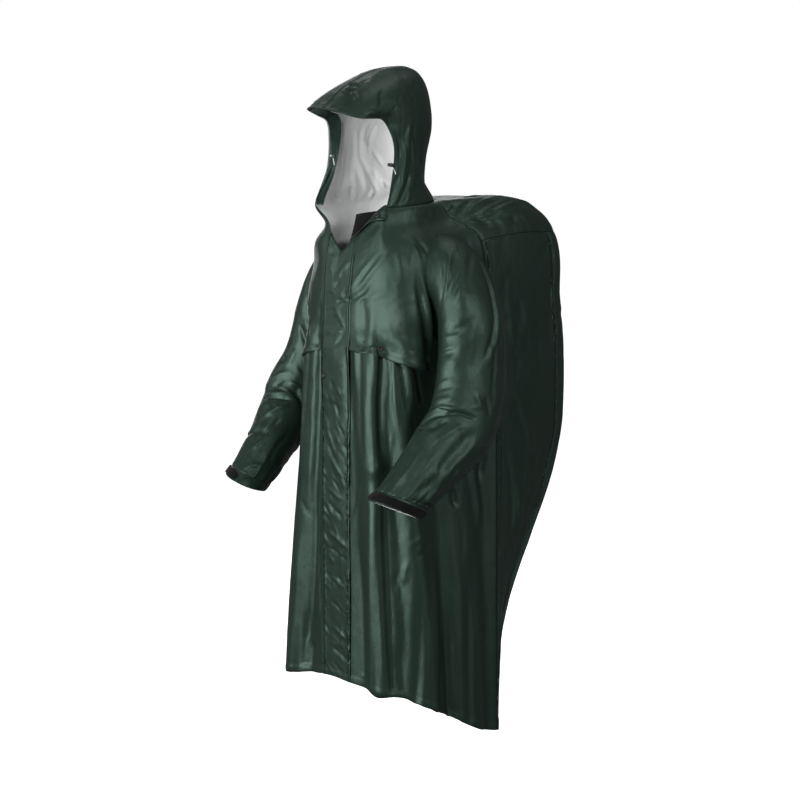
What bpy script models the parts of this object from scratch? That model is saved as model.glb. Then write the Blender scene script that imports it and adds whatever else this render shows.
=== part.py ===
"""Hooded rain poncho with sleeves and a bulge for a rucksack, filled out as it is worn.

Metres, +Z up. The front faces -Y and the wearer's left is +X. The origin lies between the
shoulders, where the wearer carries the garment.

The body cloth is one surface, body(turn, level). turn runs round the garment: 0 is the middle of the
front, 1 the back edge of the side panel, 2 the seam between gusset and back, 3 the middle of the
back, and a negative turn is the wearer's right. level runs down it: 0 is the neckline, 1 the chest
below the shoulders, 2 the free edge of the chest yoke and 3 the hem. Each piece of cloth is a patch
of such a surface, closed into a thin wall.
"""

from collections import namedtuple

import bmesh
import bpy
import numpy as np
from mathutils import Quaternion, Vector
from mathutils.bvhtree import BVHTree

# Cloth and seams.
CLOTH = 0.0015
SEAM_GAP = 0.0003
STACK_GAP = 0.0005

# Heights of the body's cross lines.
CHEST_Z = -0.16
YOKE_Z_FRONT = -0.268
YOKE_Z_SIDE = -0.314
HEM_Z_FRONT = -1.010
HEM_Z_BACK_LEFT = -1.133
HEM_Z_BACK_RIGHT = -1.076

# Horizontal sections of the body. front and side are half sizes of the front part, corner is the
# squareness of its front corner. edge is the back edge of the side panel, bulge the seam between
# gusset and back panel, and crown how far the back panel rises behind that seam.
Section = namedtuple("Section", "z front side corner edge_x edge_y bulge_x bulge_y crown")
SECTIONS = (
    Section(-0.16, 0.140, 0.170, 2.4, 0.180, 0.145, 0.182, 0.368, 0.062),
    Section(-0.30, 0.144, 0.155, 2.7, 0.184, 0.165, 0.186, 0.376, 0.063),
    Section(-0.45, 0.144, 0.158, 3.0, 0.190, 0.178, 0.186, 0.374, 0.063),
    Section(-0.57, 0.144, 0.168, 3.2, 0.193, 0.175, 0.184, 0.344, 0.061),
    Section(-0.70, 0.143, 0.180, 3.3, 0.196, 0.172, 0.179, 0.284, 0.055),
    Section(-0.82, 0.142, 0.190, 3.4, 0.198, 0.170, 0.176, 0.226, 0.044),
    Section(-0.95, 0.142, 0.198, 3.5, 0.200, 0.168, 0.178, 0.186, 0.028),
    Section(-1.15, 0.142, 0.206, 3.6, 0.202, 0.166, 0.186, 0.174, 0.016),
)
FRONT_SHARE = 0.60
BACK_CORNER = 3.4
GUSSET_BOW = 0.006
BULGE_LOFT = 0.012

# The neckline, from the bottom of the open neck round to the nape. The wearer's left edge is folded
# down, and the right one stands forward as a corner of the collar.
NeckPoint = namedtuple("NeckPoint", "turn x y z")
NECK_LEFT = (
    NeckPoint(0.00, 0.000, -0.121, -0.060),
    NeckPoint(0.15, 0.045, -0.097, -0.010),
    NeckPoint(0.30, 0.084, -0.068, 0.036),
    NeckPoint(0.60, 0.098, -0.015, 0.036),
    NeckPoint(1.00, 0.090, 0.055, 0.041),
    NeckPoint(2.00, 0.060, 0.095, 0.047),
    NeckPoint(3.00, 0.000, 0.112, 0.051),
)
NECK_RIGHT = (
    NeckPoint(0.00, 0.000, -0.121, -0.060),
    NeckPoint(0.15, 0.048, -0.126, -0.006),
    NeckPoint(0.30, 0.088, -0.122, 0.043),
    NeckPoint(0.60, 0.101, -0.040, 0.040),
    NeckPoint(1.00, 0.090, 0.055, 0.041),
    NeckPoint(2.00, 0.060, 0.095, 0.047),
    NeckPoint(3.00, 0.000, 0.112, 0.051),
)
SHOULDER_TURNS = (0.0, 0.35, 0.75, 1.1, 3.0)
SHOULDER_SQUARENESS = (1.6, 1.8, 2.5, 3.4, 3.8)

# The largest folds of the body. at_top and at_hem are turns, and the depths are at the yoke's edge
# and at the hem, positive for a ridge.
Fold = namedtuple("Fold", "at_top at_hem half_width top_depth hem_depth")
FOLDS_LEFT = (
    Fold(0.13, 0.13, 0.045, -0.003, -0.006),
    Fold(0.23, 0.24, 0.060, 0.009, 0.013),
    Fold(0.33, 0.37, 0.060, -0.010, -0.010),
    Fold(0.40, 0.50, 0.065, 0.007, 0.008),
    Fold(0.55, 0.63, 0.080, -0.004, -0.009),
    Fold(0.72, 0.78, 0.090, 0.003, 0.010),
    Fold(0.90, 0.91, 0.050, -0.002, -0.006),
    Fold(2.25, 2.25, 0.100, 0.000, 0.007),
    Fold(2.50, 2.52, 0.110, 0.000, -0.008),
    Fold(2.78, 2.80, 0.110, 0.000, 0.007),
)
FOLDS_RIGHT = (
    Fold(0.15, 0.16, 0.045, -0.012, -0.012),
    Fold(0.27, 0.33, 0.090, 0.010, 0.019),
    Fold(0.47, 0.54, 0.070, -0.006, -0.010),
    Fold(0.66, 0.72, 0.080, 0.005, 0.010),
    Fold(0.87, 0.90, 0.060, -0.003, -0.008),
    Fold(2.30, 2.30, 0.100, 0.000, -0.007),
    Fold(2.55, 2.55, 0.110, 0.000, 0.008),
    Fold(2.82, 2.80, 0.100, 0.000, -0.006),
)

# Grid counts of the body, a column or row for each.
FRONT_COLUMNS = 16
GUSSET_COLUMNS = 4
BACK_COLUMNS = 6
TOP_ROWS = 7
CHEST_ROWS = 4
SKIRT_ROWS = 14
GUSSET_LEVEL = 0.72

# The chest yoke's free edge stands off the lower front, which reaches up under it.
YOKE_LIFT = CLOTH + 0.0008
YOKE_FLARE = 0.003
UNDERLAP_LEVEL = 1.76

# The storm flap and the zip under it.
FLAP_LEFT_X = 0.045
FLAP_RIGHT_X = -0.038
FLAP_GAP = 0.0008
FLAP_STEP_LEVEL = 2.02
ZIP_HALF_WIDTH = 0.003
ZIP_THICKNESS = 0.0022

# Armholes: an upright oval on the body's side, seen from outside.
ARMHOLE_Y = 0.040
ARMHOLE_Z = -0.112
ARMHOLE_HALF_HEIGHT = 0.092
ARMHOLE_HALF_WIDTH = 0.070
ARMHOLE_DEPTH = 0.006

# Sleeves, from under the armpit to the wrist. in_out is the half size across the arm and fore_aft
# the half size in the arm's own plane. Above the first ring the head curves over to the armhole.
SleeveRing = namedtuple("SleeveRing", "x y z in_out fore_aft")
SLEEVE_RINGS = (
    SleeveRing(0.233, 0.044, -0.232, 0.060, 0.084),
    SleeveRing(0.240, 0.036, -0.300, 0.058, 0.085),
    SleeveRing(0.247, 0.018, -0.365, 0.058, 0.083),
    SleeveRing(0.250, -0.008, -0.425, 0.059, 0.080),
    SleeveRing(0.246, -0.060, -0.472, 0.057, 0.072),
    SleeveRing(0.237, -0.118, -0.513, 0.052, 0.061),
    SleeveRing(0.226, -0.172, -0.552, 0.047, 0.050),
)
RIGHT_ARM_SHIFT = (0.022, 0.000, 0.008)
ARM_ACROSS = (1.0, 0.0, 0.6)
HEAD_ROWS = 5
HEAD_FULLNESS = 0.85
SLEEVE_ROWS = 15
SLEEVE_COLUMNS = 20
CHEST_HEART = (0.0, 0.02, -0.20)
ARMHOLE_CORE = 0.03
ARMHOLE_SLAB_SCALE = 0.6
CUFF_LENGTH = 0.030
CUFF_THICKNESS = 0.0021
CUFF_FLARE = 0.0015

# Elbow and wrist creases of a sleeve: along is the share of its length, at the share of its girth
# from the outer side towards the front.
Crease = namedtuple("Crease", "along at half_along half_at slant depth")
SLEEVE_CREASES = (
    Crease(0.22, 0.30, 0.040, 0.15, 0.30, -0.005),
    Crease(0.62, 0.05, 0.030, 0.16, 0.25, -0.008),
    Crease(0.57, 0.22, 0.028, 0.10, -0.35, -0.006),
    Crease(0.70, 0.85, 0.050, 0.12, 0.80, -0.006),
    Crease(0.88, 0.95, 0.040, 0.10, 0.60, -0.004),
)

# Hook-and-loop tabs round the cuffs.
TAB_WIDTH = 0.021
TAB_THICKNESS = 0.0022
TAB_COLUMNS = 5
TAB_TAIL = 0.006

# The hood. Each arch goes from the neckline up one side and over to the crown. back is the share of
# the way from the face opening to the nape, mid the arch's springing line.
Arch = namedtuple("Arch", "back crown_y crown_z mid_y mid_z half_width")
ARCHES = (
    Arch(0.00, -0.197, 0.258, -0.078, 0.230, 0.094),
    Arch(0.12, -0.156, 0.283, -0.058, 0.239, 0.096),
    Arch(0.25, -0.098, 0.311, -0.036, 0.238, 0.097),
    Arch(0.40, -0.034, 0.337, -0.013, 0.228, 0.097),
    Arch(0.55, 0.030, 0.345, 0.015, 0.211, 0.096),
    Arch(0.70, 0.086, 0.310, 0.040, 0.188, 0.092),
    Arch(0.82, 0.110, 0.240, 0.060, 0.152, 0.087),
    Arch(0.92, 0.112, 0.155, 0.082, 0.106, 0.072),
    Arch(1.00, 0.112, 0.075, 0.100, 0.070, 0.055),
)
HOOD_FRONT_TURN = 0.30
HOOD_BACK_TURN = 2.20
ARCH_CORNER = 2.25
LEG_SHARE = 0.42
HOOD_ROWS = 14
LEG_COLUMNS = 5
ARCH_COLUMNS = 7
BAND_BACK = 0.13
BAND_THICKNESS = 0.0012

# The neck flap runs from the storm flap along the left edge of the open neck.
NECK_FLAP_TURNS = (0.075, 0.30)
NECK_FLAP_LEVEL = 0.015
NECK_FLAP_DEPTHS = (0.06, 0.36)
NECK_FLAP_LIFT = FLAP_GAP + 2.0 * CLOTH + STACK_GAP

# The chin guard hangs inside that edge, and its free edge runs from low to high.
CHIN_TURNS = (0.03, 0.30)
CHIN_GAP = 0.0032
CHIN_EDGE_LOW = (0.004, -0.108, -0.056)
CHIN_EDGE_HIGH = (0.008, -0.086, 0.022)
CHIN_BOW = 0.008

# Press studs, each on a turn and level of the body.
SNAP_RADIUS = 0.0062
SNAP_HEIGHT = 0.0024
SNAP_SEAT = 0.0005
SNAP_SIDES = 14
SNAP_NECK = (0.245, 0.16)
SNAP_YOKE = (0.285, 1.86)
SNAP_FLAP_X = -0.028
SNAP_FLAP_LEVEL = 2.08

# Cord locks on the edge of the face opening, and the eyelet in its band.
LOCK_RADIUS = 0.0042
LOCK_LENGTH = 0.014
LOCK_LEAN = (0.35, -1.0, 0.12)
LOCK_UP = 0.19
EYELET_RADIUS = 0.0048
EYELET_HEIGHT = 0.0016
EYELET_UP = 0.235


# ---------------------------------------------------------------- helpers

def smooth(low, high, value):
    """Ease from 0 to 1 between two limits."""
    share = np.clip((np.asarray(value, float) - low) / (high - low), 0.0, 1.0)
    return share * share * (3.0 - 2.0 * share)


def through(value, knots, heights):
    """Read a smooth curve through the knots at each value."""
    knots = np.asarray(knots, float)
    heights = np.asarray(heights, float)
    rises = np.diff(heights) / np.diff(knots)
    slopes = np.empty_like(heights)
    slopes[0] = rises[0]
    slopes[-1] = rises[-1]
    same_way = rises[:-1] * rises[1:] > 0.0
    total = rises[:-1] + rises[1:]
    safe = np.where(same_way, total, 1.0)
    slopes[1:-1] = np.where(same_way, 2.0 * rises[:-1] * rises[1:] / safe, 0.0)
    value = np.clip(np.asarray(value, float), knots[0], knots[-1])
    index = np.clip(np.searchsorted(knots, value, side="right") - 1, 0, len(knots) - 2)
    step = knots[index + 1] - knots[index]
    share = (value - knots[index]) / step
    start = (1.0 + 2.0 * share) * (1.0 - share) ** 2 * heights[index]
    end = share ** 2 * (3.0 - 2.0 * share) * heights[index + 1]
    bends = slopes[index] * (1.0 - share) - slopes[index + 1] * share
    return start + end + share * (1.0 - share) * step * bends


def column(rows, name):
    """One named column of a table."""
    return [getattr(row, name) for row in rows]


def even_angles(corner, aspect, count=400):
    """Angles that space a superellipse quarter evenly, as shares of its arc."""
    angles = np.linspace(0.0, np.pi / 2, count)
    x = np.sin(angles) ** (2.0 / corner)
    y = aspect * np.cos(angles) ** (2.0 / corner)
    arc = np.concatenate([[0.0], np.cumsum(np.hypot(np.diff(x), np.diff(y)))])
    return arc / arc[-1], angles


FRONT_ARC = even_angles(3.0, 0.85)
SHOULDER_ARC = even_angles(2.6, 0.7)
BACK_ARC = even_angles(BACK_CORNER, 2.9)


def unit(vectors):
    """Scale vectors to length one."""
    length = np.linalg.norm(vectors, axis=-1, keepdims=True)
    return vectors / np.maximum(length, 1e-12)


# ---------------------------------------------------------------- body surface

def outline(turn, z):
    """Horizontal outline of the body at one turn and height, as x and y."""
    size = {name: through(-z, [-k for k in column(SECTIONS, "z")], column(SECTIONS, name))
            for name in Section._fields[1:]}
    front_angle = np.interp(turn / FRONT_SHARE, *FRONT_ARC)
    power = 2.0 / size["corner"]
    front_x = size["side"] * np.sin(front_angle) ** power
    front_y = -size["front"] * np.cos(front_angle) ** power
    along = np.clip((turn - FRONT_SHARE) / (1.0 - FRONT_SHARE), 0.0, 1.0)
    side_x = size["side"] + (size["edge_x"] - size["side"]) * along ** 2
    side_y = size["edge_y"] * along
    along = np.clip(turn - 1.0, 0.0, 1.0)
    bow = GUSSET_BOW * np.sin(np.pi * along)
    gusset_x = size["edge_x"] + (size["bulge_x"] - size["edge_x"]) * along + bow
    gusset_y = size["edge_y"] + (size["bulge_y"] - size["edge_y"]) * along
    back_angle = np.interp(1.0 - np.clip(turn - 2.0, 0.0, 1.0), *BACK_ARC)
    back_x = size["bulge_x"] * np.sin(back_angle) ** (2.0 / BACK_CORNER)
    back_y = size["bulge_y"] + size["crown"] * np.cos(back_angle) ** (2.0 / BACK_CORNER)
    stretch = [turn <= FRONT_SHARE, turn <= 1.0, turn <= 2.0]
    x = np.select(stretch, [front_x, side_x, gusset_x], back_x)
    y = np.select(stretch, [front_y, side_y, gusset_y], back_y)
    return x, y


def neckline(turn, side):
    """Point of the neckline, in the half that side names."""
    left = [through(turn, column(NECK_LEFT, "turn"), column(NECK_LEFT, axis)) for axis in "xyz"]
    right = [through(turn, column(NECK_RIGHT, "turn"), column(NECK_RIGHT, axis)) for axis in "xyz"]
    return [np.where(side > 0, a, b) for a, b in zip(left, right)]


def level_height(turn, level, side=1.0):
    """Height of the body surface from the chest down. The hem hangs lower on the left."""
    share = smooth(0.05, 0.55, turn)
    yoke_z = YOKE_Z_FRONT + (YOKE_Z_SIDE - YOKE_Z_FRONT) * share
    middle = (HEM_Z_BACK_LEFT + HEM_Z_BACK_RIGHT) / 2
    corner = np.where(side > 0, HEM_Z_BACK_LEFT, HEM_Z_BACK_RIGHT)
    hem_z = HEM_Z_FRONT + (corner - HEM_Z_FRONT) * smooth(0.22, 1.02, turn)
    hem_z = hem_z + (middle - corner) * smooth(1.8, 3.4, turn) / smooth(1.8, 3.4, 3.0)
    chest = CHEST_Z + (yoke_z - CHEST_Z) * np.clip(level - 1.0, 0.0, 1.0)
    return chest + (hem_z - yoke_z) * np.clip(level - 2.0, 0.0, 1.0)


def plain_body(turn, level):
    """Body surface without its folds."""
    turn = (np.asarray(turn, float) + 3.0) % 6.0 - 3.0
    side = np.where(turn < 0.0, -1.0, 1.0)
    turn = np.abs(turn)
    level = np.asarray(level, float)
    z = level_height(turn, level, side)
    x, y = outline(turn, z)
    neck_x, neck_y, neck_z = neckline(turn, side)
    angle = np.interp(np.clip(level, 0.0, 1.0), *SHOULDER_ARC)
    power = 2.0 / np.interp(turn, SHOULDER_TURNS, SHOULDER_SQUARENESS)
    out = np.sin(angle) ** power
    down = 1.0 - np.cos(angle) ** power
    over_x = neck_x + (x - neck_x) * out
    over_y = neck_y + (y - neck_y) * out
    over_z = neck_z + (CHEST_Z - neck_z) * down
    over_z = over_z + BULGE_LOFT * smooth(0.8, 1.6, turn) * np.sin(np.pi * out)
    low = level > 1.0
    x = np.where(low, x, over_x) * side
    return np.stack([x, np.where(low, y, over_y), np.where(low, z, over_z)], axis=-1)


def normals_of(surface, turn, level, step=0.012):
    """Outward normals of a surface, from its neighbourhood."""
    turn = np.asarray(turn, float)
    level = np.asarray(level, float)
    across = surface(turn + step, level) - surface(turn - step, level)
    upper = np.maximum(level - step, 0.0)
    down = surface(turn, upper + 2.0 * step) - surface(turn, upper)
    return unit(np.cross(across, -down))


def fold_depth(turn, level):
    """How far the folds lift the body cloth."""
    turn = (np.asarray(turn, float) + 3.0) % 6.0 - 3.0
    level = np.asarray(level, float)
    reach = np.clip(level - 2.0, 0.0, 1.0)
    depth = np.zeros(np.broadcast(turn, level).shape)
    for side, folds in ((1.0, FOLDS_LEFT), (-1.0, FOLDS_RIGHT)):
        for fold in folds:
            at = fold.at_top + (fold.at_hem - fold.at_top) * reach
            size = fold.top_depth + (fold.hem_depth - fold.top_depth) * reach
            size = size * smooth(1.35, 2.08, level)
            depth += size * np.exp(-((side * turn - at) / fold.half_width) ** 2)
    return depth


def body(turn, level):
    """Outer surface of the body cloth."""
    base = plain_body(turn, level)
    return base + normals_of(plain_body, turn, level) * fold_depth(turn, level)[..., None]


def turn_at_x(x, level):
    """Turn at which the front surface has a given x."""
    x = np.asarray(x, float)
    z = level_height(np.zeros_like(x), level)
    heights = [-k for k in column(SECTIONS, "z")]
    half = through(-z, heights, column(SECTIONS, "side"))
    corner = through(-z, heights, column(SECTIONS, "corner"))
    angle = np.arcsin(np.clip(np.abs(x) / half, 0.0, 1.0) ** (corner / 2.0))
    return np.sign(x) * FRONT_SHARE * np.interp(angle, FRONT_ARC[1], FRONT_ARC[0])


# ---------------------------------------------------------------- walls

BORDERS = {
    "top": (np.s_[0], np.s_[1]),
    "bottom": (np.s_[-1], np.s_[-2]),
    "first": (np.s_[:, 0], np.s_[:, 1]),
    "last": (np.s_[:, -1], np.s_[:, -2]),
}


def draw_in(points, borders, distance=SEAM_GAP / 2):
    """Draw the named borders of a grid in, to leave a seam gap."""
    result = points.copy()
    for name in borders:
        line, inside = BORDERS[name]
        result[line] += unit(points[inside] - points[line]) * distance
    return result


def finish(name, color, roughness, metallic=0.0):
    """Principled material of one piece."""
    material = bpy.data.materials.new(name + "_finish")
    material.use_nodes = True
    shader = material.node_tree.nodes["Principled BSDF"]
    shader.inputs["Base Color"].default_value = (*color, 1.0)
    shader.inputs["Roughness"].default_value = roughness
    shader.inputs["Metallic"].default_value = metallic
    material.diffuse_color = (*color, 1.0)
    return material


GREEN = (0.030, 0.050, 0.042)
BLACK = (0.010, 0.010, 0.011)
METAL = (0.060, 0.062, 0.062)
GREY = (0.42, 0.43, 0.43)


def add_object(name, points, faces, look):
    """Make a smooth shaded mesh object, facing out."""
    mesh = bpy.data.meshes.new(name)
    mesh.from_pydata([tuple(p) for p in points], [], faces)
    work = bmesh.new()
    work.from_mesh(mesh)
    bmesh.ops.recalc_face_normals(work, faces=work.faces)
    for face in work.faces:
        face.smooth = True
    work.to_mesh(mesh)
    work.free()
    mesh.materials.append(look)
    item = bpy.data.objects.new(name, mesh)
    bpy.context.scene.collection.objects.link(item)
    return item


def wall_mesh(outer, inner, wrap=False):
    """Points and faces of the closed wall between two grids."""
    rows, columns = outer.shape[:2]
    layer = rows * columns
    points = np.concatenate([outer.reshape(-1, 3), inner.reshape(-1, 3)])

    def at(row, col, side=0):
        return side * layer + row * columns + col % columns

    faces = []
    last = columns if wrap else columns - 1
    for row in range(rows - 1):
        for col in range(last):
            near, far = (row, col), (row + 1, col + 1)
            for other in ((row, col + 1), (row + 1, col)):
                faces.append([at(*near), at(*other), at(*far)])
                faces.append([at(*near, 1), at(*far, 1), at(*other, 1)])
    for row in (0, rows - 1):
        for col in range(last):
            faces.append([at(row, col), at(row, col + 1), at(row, col + 1, 1), at(row, col, 1)])
    if not wrap:
        for col in (0, columns - 1):
            for row in range(rows - 1):
                faces.append([at(row, col), at(row + 1, col), at(row + 1, col, 1), at(row, col, 1)])
    return points, faces


def wall(name, outer, normals, look, thickness=CLOTH, wrap=False):
    """Close a grid of outer points into a wall of even thickness."""
    points, faces = wall_mesh(outer, outer - normals * thickness, wrap)
    return add_object(name, points, faces, look)


def body_patch(turns, levels, borders, lift=0.0):
    """Grid of body points and normals, moved out by lift."""
    turns, levels = np.broadcast_arrays(turns, levels)
    normals = normals_of(body, turns, levels)
    points = body(turns, levels) + normals * np.asarray(lift)[..., None]
    return draw_in(points, borders), normals


def rows_of(*spans):
    """Levels of a grid's rows, from spans of start, end and count."""
    levels = [np.linspace(start, end, count + 1)[:-1] for start, end, count in spans]
    return np.concatenate(levels + [[spans[-1][1]]])[:, None]


# ---------------------------------------------------------------- body pieces

def yoke_lift(level):
    """Distance of the yoke above the body surface, growing to its free edge."""
    return YOKE_LIFT * smooth(1.50, 1.72, level) + YOKE_FLARE * smooth(1.76, 2.0, level)


def front_turns(side, levels):
    """Columns of a front piece, from beside the zip to the side edge."""
    start = turn_at_x(np.full_like(levels, ZIP_HALF_WIDTH + SEAM_GAP), levels)
    share = np.linspace(0.0, 1.0, FRONT_COLUMNS + 1)[None, :]
    return side * (start + (1.0 - start) * share)


def yoke_rows():
    """Levels of the rows that the yoke and the storm flap over it share."""
    return rows_of((0.0, 1.0, TOP_ROWS), (1.0, 1.5, 2), (1.5, 1.8, 2), (1.8, 2.0, 2))


def yoke(side):
    """Chest and shoulder piece, from the neckline to its free lower edge."""
    levels = yoke_rows()
    turns = front_turns(side, levels)
    return body_patch(turns, levels, ("top", "last"), yoke_lift(levels * np.ones_like(turns)))


def lower_front(side):
    """Lower front, from under the yoke to the hem."""
    levels = rows_of((UNDERLAP_LEVEL, 2.0, 1), (2.0, 3.0, SKIRT_ROWS))
    return body_patch(front_turns(side, levels), levels, ("last",))


def back_top():
    """Top of the bulge and back of the shoulders, in one piece."""
    half = np.concatenate([np.linspace(1.0, 2.0, GUSSET_COLUMNS + 1)[:-1],
                           np.linspace(2.0, 3.0, BACK_COLUMNS + 1)])
    turns = np.concatenate([half, 6.0 - half[-2::-1]])[None, :]
    levels = rows_of((0.0, GUSSET_LEVEL, TOP_ROWS - 2))
    return body_patch(turns, levels, ("top", "bottom", "first", "last"))


def back():
    """Back panel, over the back of the bulge and down to the hem."""
    half = np.linspace(2.0, 3.0, BACK_COLUMNS + 1)
    turns = np.concatenate([half, 6.0 - half[-2::-1]])[None, :]
    levels = rows_of((GUSSET_LEVEL, 1.0, 2), (1.0, 2.0, CHEST_ROWS), (2.0, 3.0, SKIRT_ROWS))
    return body_patch(turns, levels, ("top", "first", "last"))


def gusset(side):
    """Side gusset of the bulge, narrowing to the hem."""
    turns = side * np.linspace(1.0, 2.0, GUSSET_COLUMNS + 1)[None, :]
    levels = rows_of((GUSSET_LEVEL, 1.0, 2), (1.0, 2.0, CHEST_ROWS), (2.0, 3.0, SKIRT_ROWS))
    return body_patch(turns, levels, ("top", "first", "last"))


def flap_lift(level):
    """Distance of the storm flap above the body surface."""
    over_yoke = yoke_lift(np.minimum(level, 2.0)) * (1.0 - smooth(FLAP_STEP_LEVEL, 2.2, level))
    return FLAP_GAP + CLOTH + over_yoke


def storm_flap():
    """Flap over the zip, from the open neck to the hem."""
    below = np.linspace(2.0, 3.0, SKIRT_ROWS + 1)[1:, None]
    levels = np.concatenate([yoke_rows(), [[FLAP_STEP_LEVEL]], below])
    shares = np.linspace(FLAP_RIGHT_X, FLAP_LEFT_X, 6)[None, :]
    turns = turn_at_x(shares * np.ones_like(levels), levels * np.ones_like(shares))
    return body_patch(turns, levels, ("top",), flap_lift(levels * np.ones_like(shares)))


def zip_chain():
    """Closed stretch of the zip, between the two fronts."""
    below = np.linspace(2.0, 3.0, SKIRT_ROWS + 1)[1:-1, None]
    levels = np.concatenate([yoke_rows()[1:], below])
    shares = np.linspace(-ZIP_HALF_WIDTH, ZIP_HALF_WIDTH, 2)[None, :]
    turns = turn_at_x(shares * np.ones_like(levels), levels * np.ones_like(shares))
    return body_patch(turns, levels, ())


def neck_flap():
    """Tab of the storm flap, snapped down beside the open neck."""
    turns = np.linspace(*NECK_FLAP_TURNS, 6)[None, :]
    low, high = NECK_FLAP_DEPTHS
    reach = low + (high - low) * smooth(*NECK_FLAP_TURNS, turns)
    levels = NECK_FLAP_LEVEL + np.linspace(0.0, 1.0, 4)[:, None] * reach
    return body_patch(turns, levels, (), np.full(levels.shape, NECK_FLAP_LIFT))


def chin_guard():
    """Guard inside the left edge of the open neck."""
    share = np.linspace(0.0, 1.0, 5)[:, None]
    across = np.linspace(0.0, 1.0, 5)[None, :]
    turns = CHIN_TURNS[0] + (CHIN_TURNS[1] - CHIN_TURNS[0]) * share
    edge = plain_body(turns, 0.0 * turns)
    inward = -normals_of(plain_body, turns, 0.0 * turns)
    start = edge + inward * (CLOTH + CHIN_GAP)
    low = np.array(CHIN_EDGE_LOW)
    far = low + (np.array(CHIN_EDGE_HIGH) - low) * share[..., None]
    points = start + (far - start) * across[..., None]
    points[..., 1] -= CHIN_BOW * np.sin(np.pi * across) * share
    rise = points[1:] - points[:-1]
    rise = np.concatenate([rise, rise[-1:]])
    run = points[:, 1:] - points[:, :-1]
    run = np.concatenate([run, run[:, -1:]], axis=1)
    return points, unit(np.cross(rise, run))


# ---------------------------------------------------------------- sleeves

def sleeve_frame(along, side):
    """Centre, outward axis, front axis and half sizes at shares of the sleeve's length."""
    table = np.array(SLEEVE_RINGS)
    if side < 0:
        table[:, :3] += np.outer(smooth(0.0, 3.0, np.arange(len(table))), RIGHT_ARM_SHIFT)
    lengths = np.linalg.norm(np.diff(table[:, :3], axis=0), axis=1)
    knots = np.concatenate([[0.0], np.cumsum(lengths)])
    knots = knots / knots[-1]
    value = np.asarray(along, float)
    read = [through(value, knots, table[:, k]) for k in range(5)]
    ahead = [through(value + 0.01, knots, table[:, k]) for k in range(3)]
    behind = [through(value - 0.01, knots, table[:, k]) for k in range(3)]
    centre = np.stack(read[:3], axis=-1)
    way = unit(np.stack(ahead, axis=-1) - np.stack(behind, axis=-1))
    front = unit(np.cross(way, np.array(ARM_ACROSS)))
    out = unit(np.cross(front, way))
    return centre, way, out, front, read[3], read[4]


def crease_depth(along, girth):
    """How far the creases press the sleeve in."""
    depth = np.zeros(np.broadcast(along, girth).shape)
    for crease in SLEEVE_CREASES:
        off = (girth - crease.at + 0.5) % 1.0 - 0.5
        across = (along - crease.along - crease.slant * 0.1 * off) / crease.half_along
        depth += crease.depth * np.exp(-across ** 2 - (off / crease.half_at) ** 2)
    return depth


def sleeve(along, girth, side, lift=0.0):
    """Outer surface of a sleeve; girth 0 is the outer side and 0.25 the front."""
    along, girth = np.broadcast_arrays(np.asarray(along, float), np.asarray(girth, float))
    centre, _, out, front, in_out, fore_aft = sleeve_frame(along, side)
    angle = 2.0 * np.pi * girth
    push = lift + crease_depth(along, girth)
    reach_out = (np.cos(angle) * (in_out + push))[..., None]
    reach_front = (np.sin(angle) * (fore_aft + push))[..., None]
    points = centre + out * reach_out + front * reach_front
    points[..., 0] *= side
    return points


def sleeve_grid(alongs, side, lift=0.0):
    """Closed rings of the sleeve at the given shares of its length."""
    girths = np.arange(SLEEVE_COLUMNS) / SLEEVE_COLUMNS
    return sleeve(np.asarray(alongs)[:, None], girths[None, :], side, lift)


def armhole_ring(side, tree, lift=0.0):
    """Oval of the armhole on the body cloth, just below its surface."""
    way = Vector((-side, 0.0, 0.0))
    ring = []
    for angle in 2.0 * np.pi * np.arange(SLEEVE_COLUMNS) / SLEEVE_COLUMNS:
        y = ARMHOLE_Y - (ARMHOLE_HALF_WIDTH + lift) * np.sin(angle)
        z = ARMHOLE_Z + (ARMHOLE_HALF_HEIGHT + lift) * np.cos(angle)
        hit, _, _, _ = tree.ray_cast(Vector((side * 0.4, y, z)), way)
        ring.append(hit + way * ARMHOLE_DEPTH)
    return np.array(ring)


def sleeve_head(shares, start, side, lift=0.0):
    """Rings that curve from the armhole over to the first ring of the arm."""
    girths = np.arange(SLEEVE_COLUMNS) / SLEEVE_COLUMNS
    end = sleeve(0.0 * girths, girths, side, lift)
    way = sleeve_frame(np.array([0.0]), side)[1] * np.array([side, 1.0, 1.0])
    reach = HEAD_FULLNESS * np.linalg.norm(end - start, axis=-1, keepdims=True)
    leave = np.array([side, 0.0, -0.1]) * reach
    arrive = way * reach
    u = np.asarray(shares)[:, None, None]
    return ((2 * u ** 3 - 3 * u ** 2 + 1) * start + (u ** 3 - 2 * u ** 2 + u) * leave
            + (3 * u ** 2 - 2 * u ** 3) * end + (u ** 3 - u ** 2) * arrive)


def sleeve_tube(side, tree, lift=0.0):
    """All rings of a sleeve, from the armhole to the cuff."""
    start = armhole_ring(side, tree, lift)
    head = sleeve_head(np.arange(HEAD_ROWS) / HEAD_ROWS, start, side, lift)
    return np.concatenate([head, sleeve_grid(np.linspace(0.0, 1.0, SLEEVE_ROWS + 1), side, lift)])


def capped(grid):
    """Points and faces of a tube closed at both ends."""
    rows, columns = grid.shape[:2]
    faces = []
    for row in range(rows - 1):
        for col in range(columns):
            after = (col + 1) % columns
            faces.append([row * columns + col, row * columns + after,
                          (row + 1) * columns + after, (row + 1) * columns + col])
    faces.append(list(range(columns)))
    faces.append([(rows - 1) * columns + col for col in range(columns)])
    return grid.reshape(-1, 3), faces


def cutter(name, points, faces, look):
    """Hidden solid for a Boolean."""
    item = add_object(name, points, faces, look)
    item.hide_render = True
    item.display_type = "WIRE"
    return item


def cut(target, tool):
    """Cut one solid with another."""
    change = target.modifiers.new(tool.name, "BOOLEAN")
    change.operation = "DIFFERENCE"
    change.solver = "EXACT"
    change.object = tool


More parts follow.
